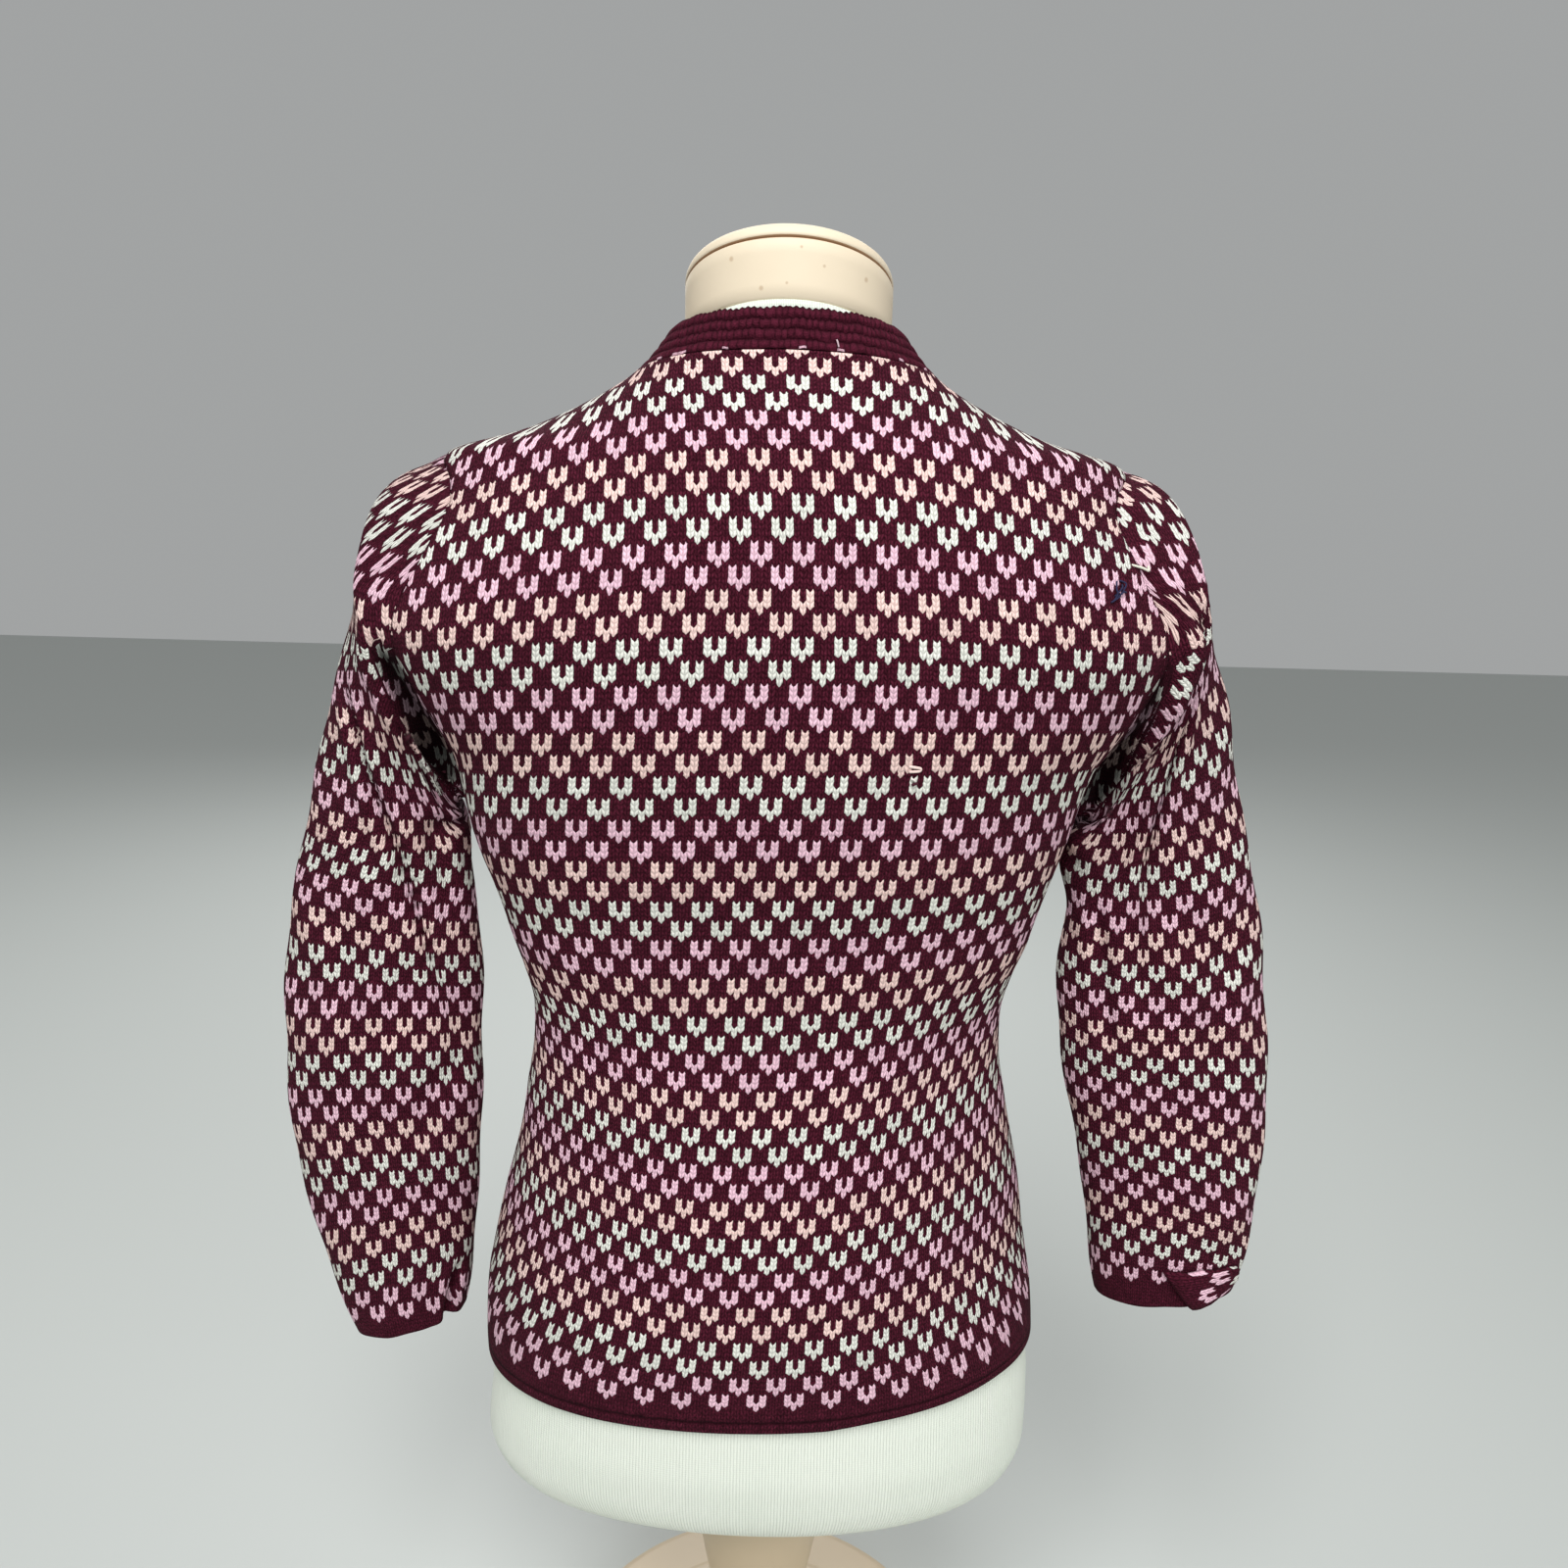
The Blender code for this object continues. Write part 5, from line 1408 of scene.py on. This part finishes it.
def build_buttons():
    """Round four-hole buttons with a raised rim, sewn on with burgundy thread."""
    material = button_material()
    thread = thread_material("burgundy_thread", 0.85, 3000.0, (0.035, 0.004, 0.012),
                             (0.075, 0.012, 0.025))
    shares = np.linspace(0.0, 1.0, BUTTON_RINGS)[1:, None]
    turns = np.linspace(0.0, 2 * math.pi, BUTTON_SIDES, endpoint=False)
    x = shares * np.cos(turns) * BUTTON_RADIUS
    y = shares * np.sin(turns) * BUTTON_RADIUS
    dish, edge = -0.0007 * (1 - ramp(shares, 0.45, 0.70)), -0.0011 * ramp(shares, 0.82, 1.0) ** 2
    top = BUTTON_THICKNESS + (dish + edge) * np.ones_like(x)
    for number in range(BUTTON_HOLES):
        angle = math.pi / 4 + number * math.pi / 2
        away = np.hypot(x - HOLE_OFFSET * math.cos(angle), y - HOLE_OFFSET * math.sin(angle))
        top -= 0.0013 * (1 - ramp(away, HOLE_RADIUS * 0.7, HOLE_RADIUS * 1.1))
    face = np.stack((x, y, top), axis=-1)
    side, base = (np.stack((x[ring], y[ring], np.full(BUTTON_SIDES, height)), axis=-1)
                  for ring, height in ((-1, 0.0007), (-3, 0.0)))
    rings = np.concatenate((base[None], side[None], face[::-1]))
    heights = np.linspace(FIRST_BUTTON_HEIGHT, LAST_BUTTON_HEIGHT, BUTTON_COUNT)
    low = BUTTON_THICKNESS - 0.0007
    for number, height in enumerate(heights, start=1):
        seat, normal = (Vector(item) for item in surface(180.0, height))
        seat += normal * (WALL + 2 * SEAM_GAP + BUTTON_LIFT)
        place = Matrix.Translation(seat) @ normal.to_track_quat("Z", "Y").to_matrix().to_4x4()
        name = f"button_{number}"
        piece = add_piece(name + "_turned", tube_mesh(name + "_turned", rings, place), [material],
                          [name])
        for way, letter in ((-1, "a"), (1, "b")):
            line = [(way * t * 0.00095 + way * 0.0004, t * HOLE_OFFSET * 0.72, low + rise)
                    for t, rise in ((-1.0, -0.0006), (-0.7, 0.0002), (0.0, 0.0004), (0.7, 0.0002),
                                    (1.0, -0.0006))]
            add_strand(yarn_mesh(f"{name}_thread_{letter}", line, 0.00028, place), thread, piece)


def build_loose_yarn():
    """Snags, pulled loops and a few caught threads, each on the face of the knitting."""
    for name, colour, radius, seat, normal, strands in LOOSE_YARN:
        out = Vector(normal).normalized()
        aside = out.cross((0.0, 0.0, 1.0)).normalized()
        up = aside.cross(out)
        dark = tuple(0.85 * part for part in colour)
        yarn = thread_material(name + "_yarn", 0.95, 2500.0, dark, colour)
        lead = None
        for number, strand in enumerate(strands, start=1):
            line = [Vector(seat) + (aside * across + up * high + out * far) * 0.001
                    for across, high, far in strand]
            mesh = yarn_mesh(f"{name}_{number}", line, radius)
            if lead:
                add_strand(mesh, yarn, lead)
            else:
                lead = add_piece(mesh.name, mesh, [yarn], [])


# ---------------------------------------------------------------- dress form and stand
FORM_SIDES = 160
FORM_ROWS = 190
FORM_LEVEL = 0.90          # above it the rings of the form turn from level to the neck's slant
LOW_FULLNESS = 0.006       # how far the padding bulges past its section at the lower +X edge
FULL_BELOW, FULL_ABOVE = 0.262, 0.325
TURNED_SIDES = 96
RIB_WIDTH = 0.0019         # of the jersey's fine ribs


def neck_plane(y, height):
    """Height of the neck's slanted cut at Y, where it passes the axis at a height."""
    return height + y * math.tan(NECK_CUT_TILT)


def build_torso():
    """The torso in its jersey cover, cut off along the slanted plane at the neck."""
    turns = np.linspace(0.0, 360.0, FORM_SIDES, endpoint=False)
    levels = [FORM_BOTTOM, 0.2445, 0.2465, 0.249, 0.253, *np.linspace(0.258, FORM_LEVEL, FORM_ROWS)]
    cut = neck_plane(NECK_RADIUS * np.cos(np.radians(turns)), NECK_CUT_HEIGHT)
    levels = [np.full(FORM_SIDES, level) for level in levels]
    levels += [FORM_LEVEL + share * (cut - FORM_LEVEL) for share in np.linspace(0.0, 1.0, 16)[1:]]
    rings = np.array([form_ring(turns, level) for level in levels])
    rings[0, :, 2] = FORM_BOTTOM
    around = summed(length(np.diff(wrapped(rings), axis=1)))
    ribs = round(float(around.max()) / RIB_WIDTH)
    lay = np.stack((around / around[:, -1:] * ribs, wrapped(rings)[..., 2] / RIB_WIDTH), axis=-1)
    mesh = tube_mesh("torso_cover", rings, lay=lay)
    add_piece("torso_cover", mesh, [jersey_material()], ["form_torso"])


def form_ring(turns, heights):
    """Points of the jersey cover's surface, inside the fabric."""
    points, normals = surface(turns, heights, form=True)
    shift = side_shift(points)
    stands_out = 1 - ramp(heights, FORM_LOW, FORM_HIGH)
    shift = np.minimum(shift, 0.0) + np.maximum(shift, 0.0) * stands_out
    points = points - normals * (WALL + looked_up(SECTIONS, heights)[-1])[:, None]
    points[:, 0] += np.sign(points[:, 0]) * shift
    low = 1 - ramp(heights, FULL_BELOW, FULL_ABOVE)
    points[:, 0] += low * LOW_FULLNESS * ramp(points[:, 0], 0.03, 0.13)
    points[:, 0] -= low * 0.35 * LOW_FULLNESS * ramp(-points[:, 0], 0.03, 0.13)
    return points


def round_rings(profile):
    """Rings of a turned solid from its (radius, height) profile."""
    turns = np.linspace(0.0, 2 * math.pi, TURNED_SIDES, endpoint=False)
    return np.array([np.stack((radius * np.sin(turns), radius * np.cos(turns),
                               np.full(TURNED_SIDES, height)), axis=-1)
                     for radius, height in profile])


def slanted_rings(profile, height, tilt):
    """Rings round the neck's axis: (radius, rise) above the slanted plane at a height.

    The rise leans by the tilt, from straight up to square to the plane.
    """
    rings = round_rings(profile)
    rise = rings[..., 2].copy()
    rings[..., 2] = neck_plane(rings[..., 1], height) + math.cos(tilt) * rise
    rings[..., 1] -= math.sin(tilt) * rise
    return rings


def build_neck():
    """The plastic neck piece and its slanted lid."""
    gap = SEAM_GAP / math.cos(NECK_CUT_TILT)
    radius, top = NECK_RADIUS, CAP_HEIGHT - gap
    cap = [(radius - 0.0007, 0.0), (radius, 0.0007)]
    cap += [(radius, share * top) for share in (0.25, 0.5, 0.75)]
    cap += [(radius, top - 0.0011), (radius - 0.0004, top - 0.0005), (radius - 0.0012, top)]
    bend = LID_THICKNESS - 0.0020
    lid = [(radius - 0.0012, 0.0), (radius - 0.0003, 0.0006), (radius, 0.0013), (radius, 0.0020)]
    for angle in np.linspace(0.0, math.pi / 2, 10)[1:]:
        lid.append((radius - bend * (1 - math.cos(angle)), 0.0020 + bend * math.sin(angle)))
    lid += [(0.036, LID_THICKNESS), (0.018, LID_THICKNESS)]
    material = cream_material()
    for name, node, profile, above, tilt in (
            ("neck_piece", "neck_cap", cap, 0.0, 0.0),
            ("neck_lid_moulded", "neck_lid", lid, CAP_HEIGHT, NECK_CUT_TILT)):
        mesh = tube_mesh(name, slanted_rings(profile, NECK_CUT_HEIGHT + above + gap, tilt))
        add_piece(name, mesh, [material], [node])


def rounded(profile, radius):
    """The same profile with its inner corners rounded off."""
    points = [profile[0]]
    for corners in zip(profile[:-2], profile[1:-1], profile[2:]):
        before, corner, after = np.array(corners, dtype=float)
        back, ahead = before - corner, after - corner
        reach = min(radius, 0.45 * length(back), 0.45 * length(ahead))
        start, end = corner + unit(back) * reach, corner + unit(ahead) * reach
        for part in np.linspace(0.0, 1.0, 5):
            points.append(curve(part, start, corner, end))
    return points + [profile[-1]]


def build_stand():
    """The flared post under the torso and the round stepped base."""
    top = FORM_BOTTOM - SEAM_GAP
    foot = BASE_HEIGHT + SEAM_GAP
    drop = np.linspace(0.001, top - foot - 0.001, 40)
    waist = smooth((0.0, 0.035, 0.068, 0.100, 0.135, 0.165, top - foot - 0.018, top - foot),
                   (POST_TOP_RADIUS, 0.0425, 0.0395, 0.0340, 0.0265, POST_WAIST_RADIUS, 0.0225,
                    0.0290), drop)
    post = [(0.020, top), (POST_TOP_RADIUS - 0.001, top), *zip(waist, top - drop), (0.0280, foot),
            (0.010, foot)]
    base = rounded([(0.012, BASE_HEIGHT), (0.0420, BASE_HEIGHT), (0.0480, 0.0325),
                    (0.1050, 0.0320), (0.1080, 0.0300), (0.1390, 0.0295), (BASE_RADIUS, 0.0245),
                    (BASE_RADIUS, 0.0), (0.020, 0.0)], 0.0022)
    material = beige_material()
    for name, node, profile in (("post_turned", "stand_post", post),
                                ("base_moulded", "stand_base", base)):
        add_piece(name, tube_mesh(name, round_rings(profile)), [material], [node])


build_knitting()
build_loose_yarn()
build_buttons()
build_torso()
build_neck()
build_stand()

# ---------------------------------------------------------------- camera, floor and lights
CAMERA_PLACE = (-0.004, 0.665, 0.850)
CAMERA_PITCH = math.radians(13.5)
CAMERA_ROLL = math.radians(1.5)
LENS, SENSOR = 27.05, 36.0


def add_camera():
    """The photograph's viewpoint, a little above the shoulders and behind the back."""
    data = bpy.data.cameras.new("camera")
    data.lens, data.sensor_width = LENS, SENSOR
    data.clip_start, data.clip_end = 0.01, 50.0
    camera = show("camera", data)
    turn = (Matrix.Rotation(math.pi, 4, "Z") @ Matrix.Rotation(math.pi / 2 - CAMERA_PITCH, 4, "X")
            @ Matrix.Rotation(CAMERA_ROLL, 4, "Z"))
    camera.matrix_world = Matrix.Translation(CAMERA_PLACE) @ turn
    bpy.context.scene.camera = camera


def add_floor():
    """A plain pale floor."""
    mesh = bpy.data.meshes.new("floor")
    mesh.from_pydata([(-6, -6, 0), (6, -6, 0), (6, 6, 0), (-6, 6, 0)], [], [(0, 1, 2, 3)])
    floor = show("floor", mesh)
    made = Recipe("floor_paint", 0.55)
    made.colour((0.52, 0.545, 0.525))
    mesh.materials.append(made.material)


def add_light(name, place, target, size, power):
    """A soft square light."""
    data = bpy.data.lights.new(name, "AREA")
    data.size, data.energy = size, power
    light = show(name, data)
    light.location = place
    light.rotation_euler = (Vector(target) - Vector(place)).to_track_quat("-Z", "Y").to_euler()


def add_world(strength):
    """Even pale surroundings, shown without a film look."""
    bpy.context.scene.view_settings.view_transform = "Standard"
    world = bpy.data.worlds.new("studio")
    world.use_nodes = True
    back = world.node_tree.nodes["Background"]
    back.inputs[0].default_value = (0.90, 0.92, 0.92, 1.0)
    back.inputs[1].default_value = strength
    bpy.context.scene.world = world


add_camera()
add_floor()
add_world(0.40)
add_light("key", (0.25, 1.42, 2.6), (0.0, 0.05, 0.70), 1.2, 57.0)
add_light("fill", (-1.2, 1.9, 1.4), (0.0, 0.0, 0.6), 1.2, 15.0)
add_light("far_side", (0.3, -2.2, 2.0), (0.0, 0.0, 0.6), 1.6, 34.0)
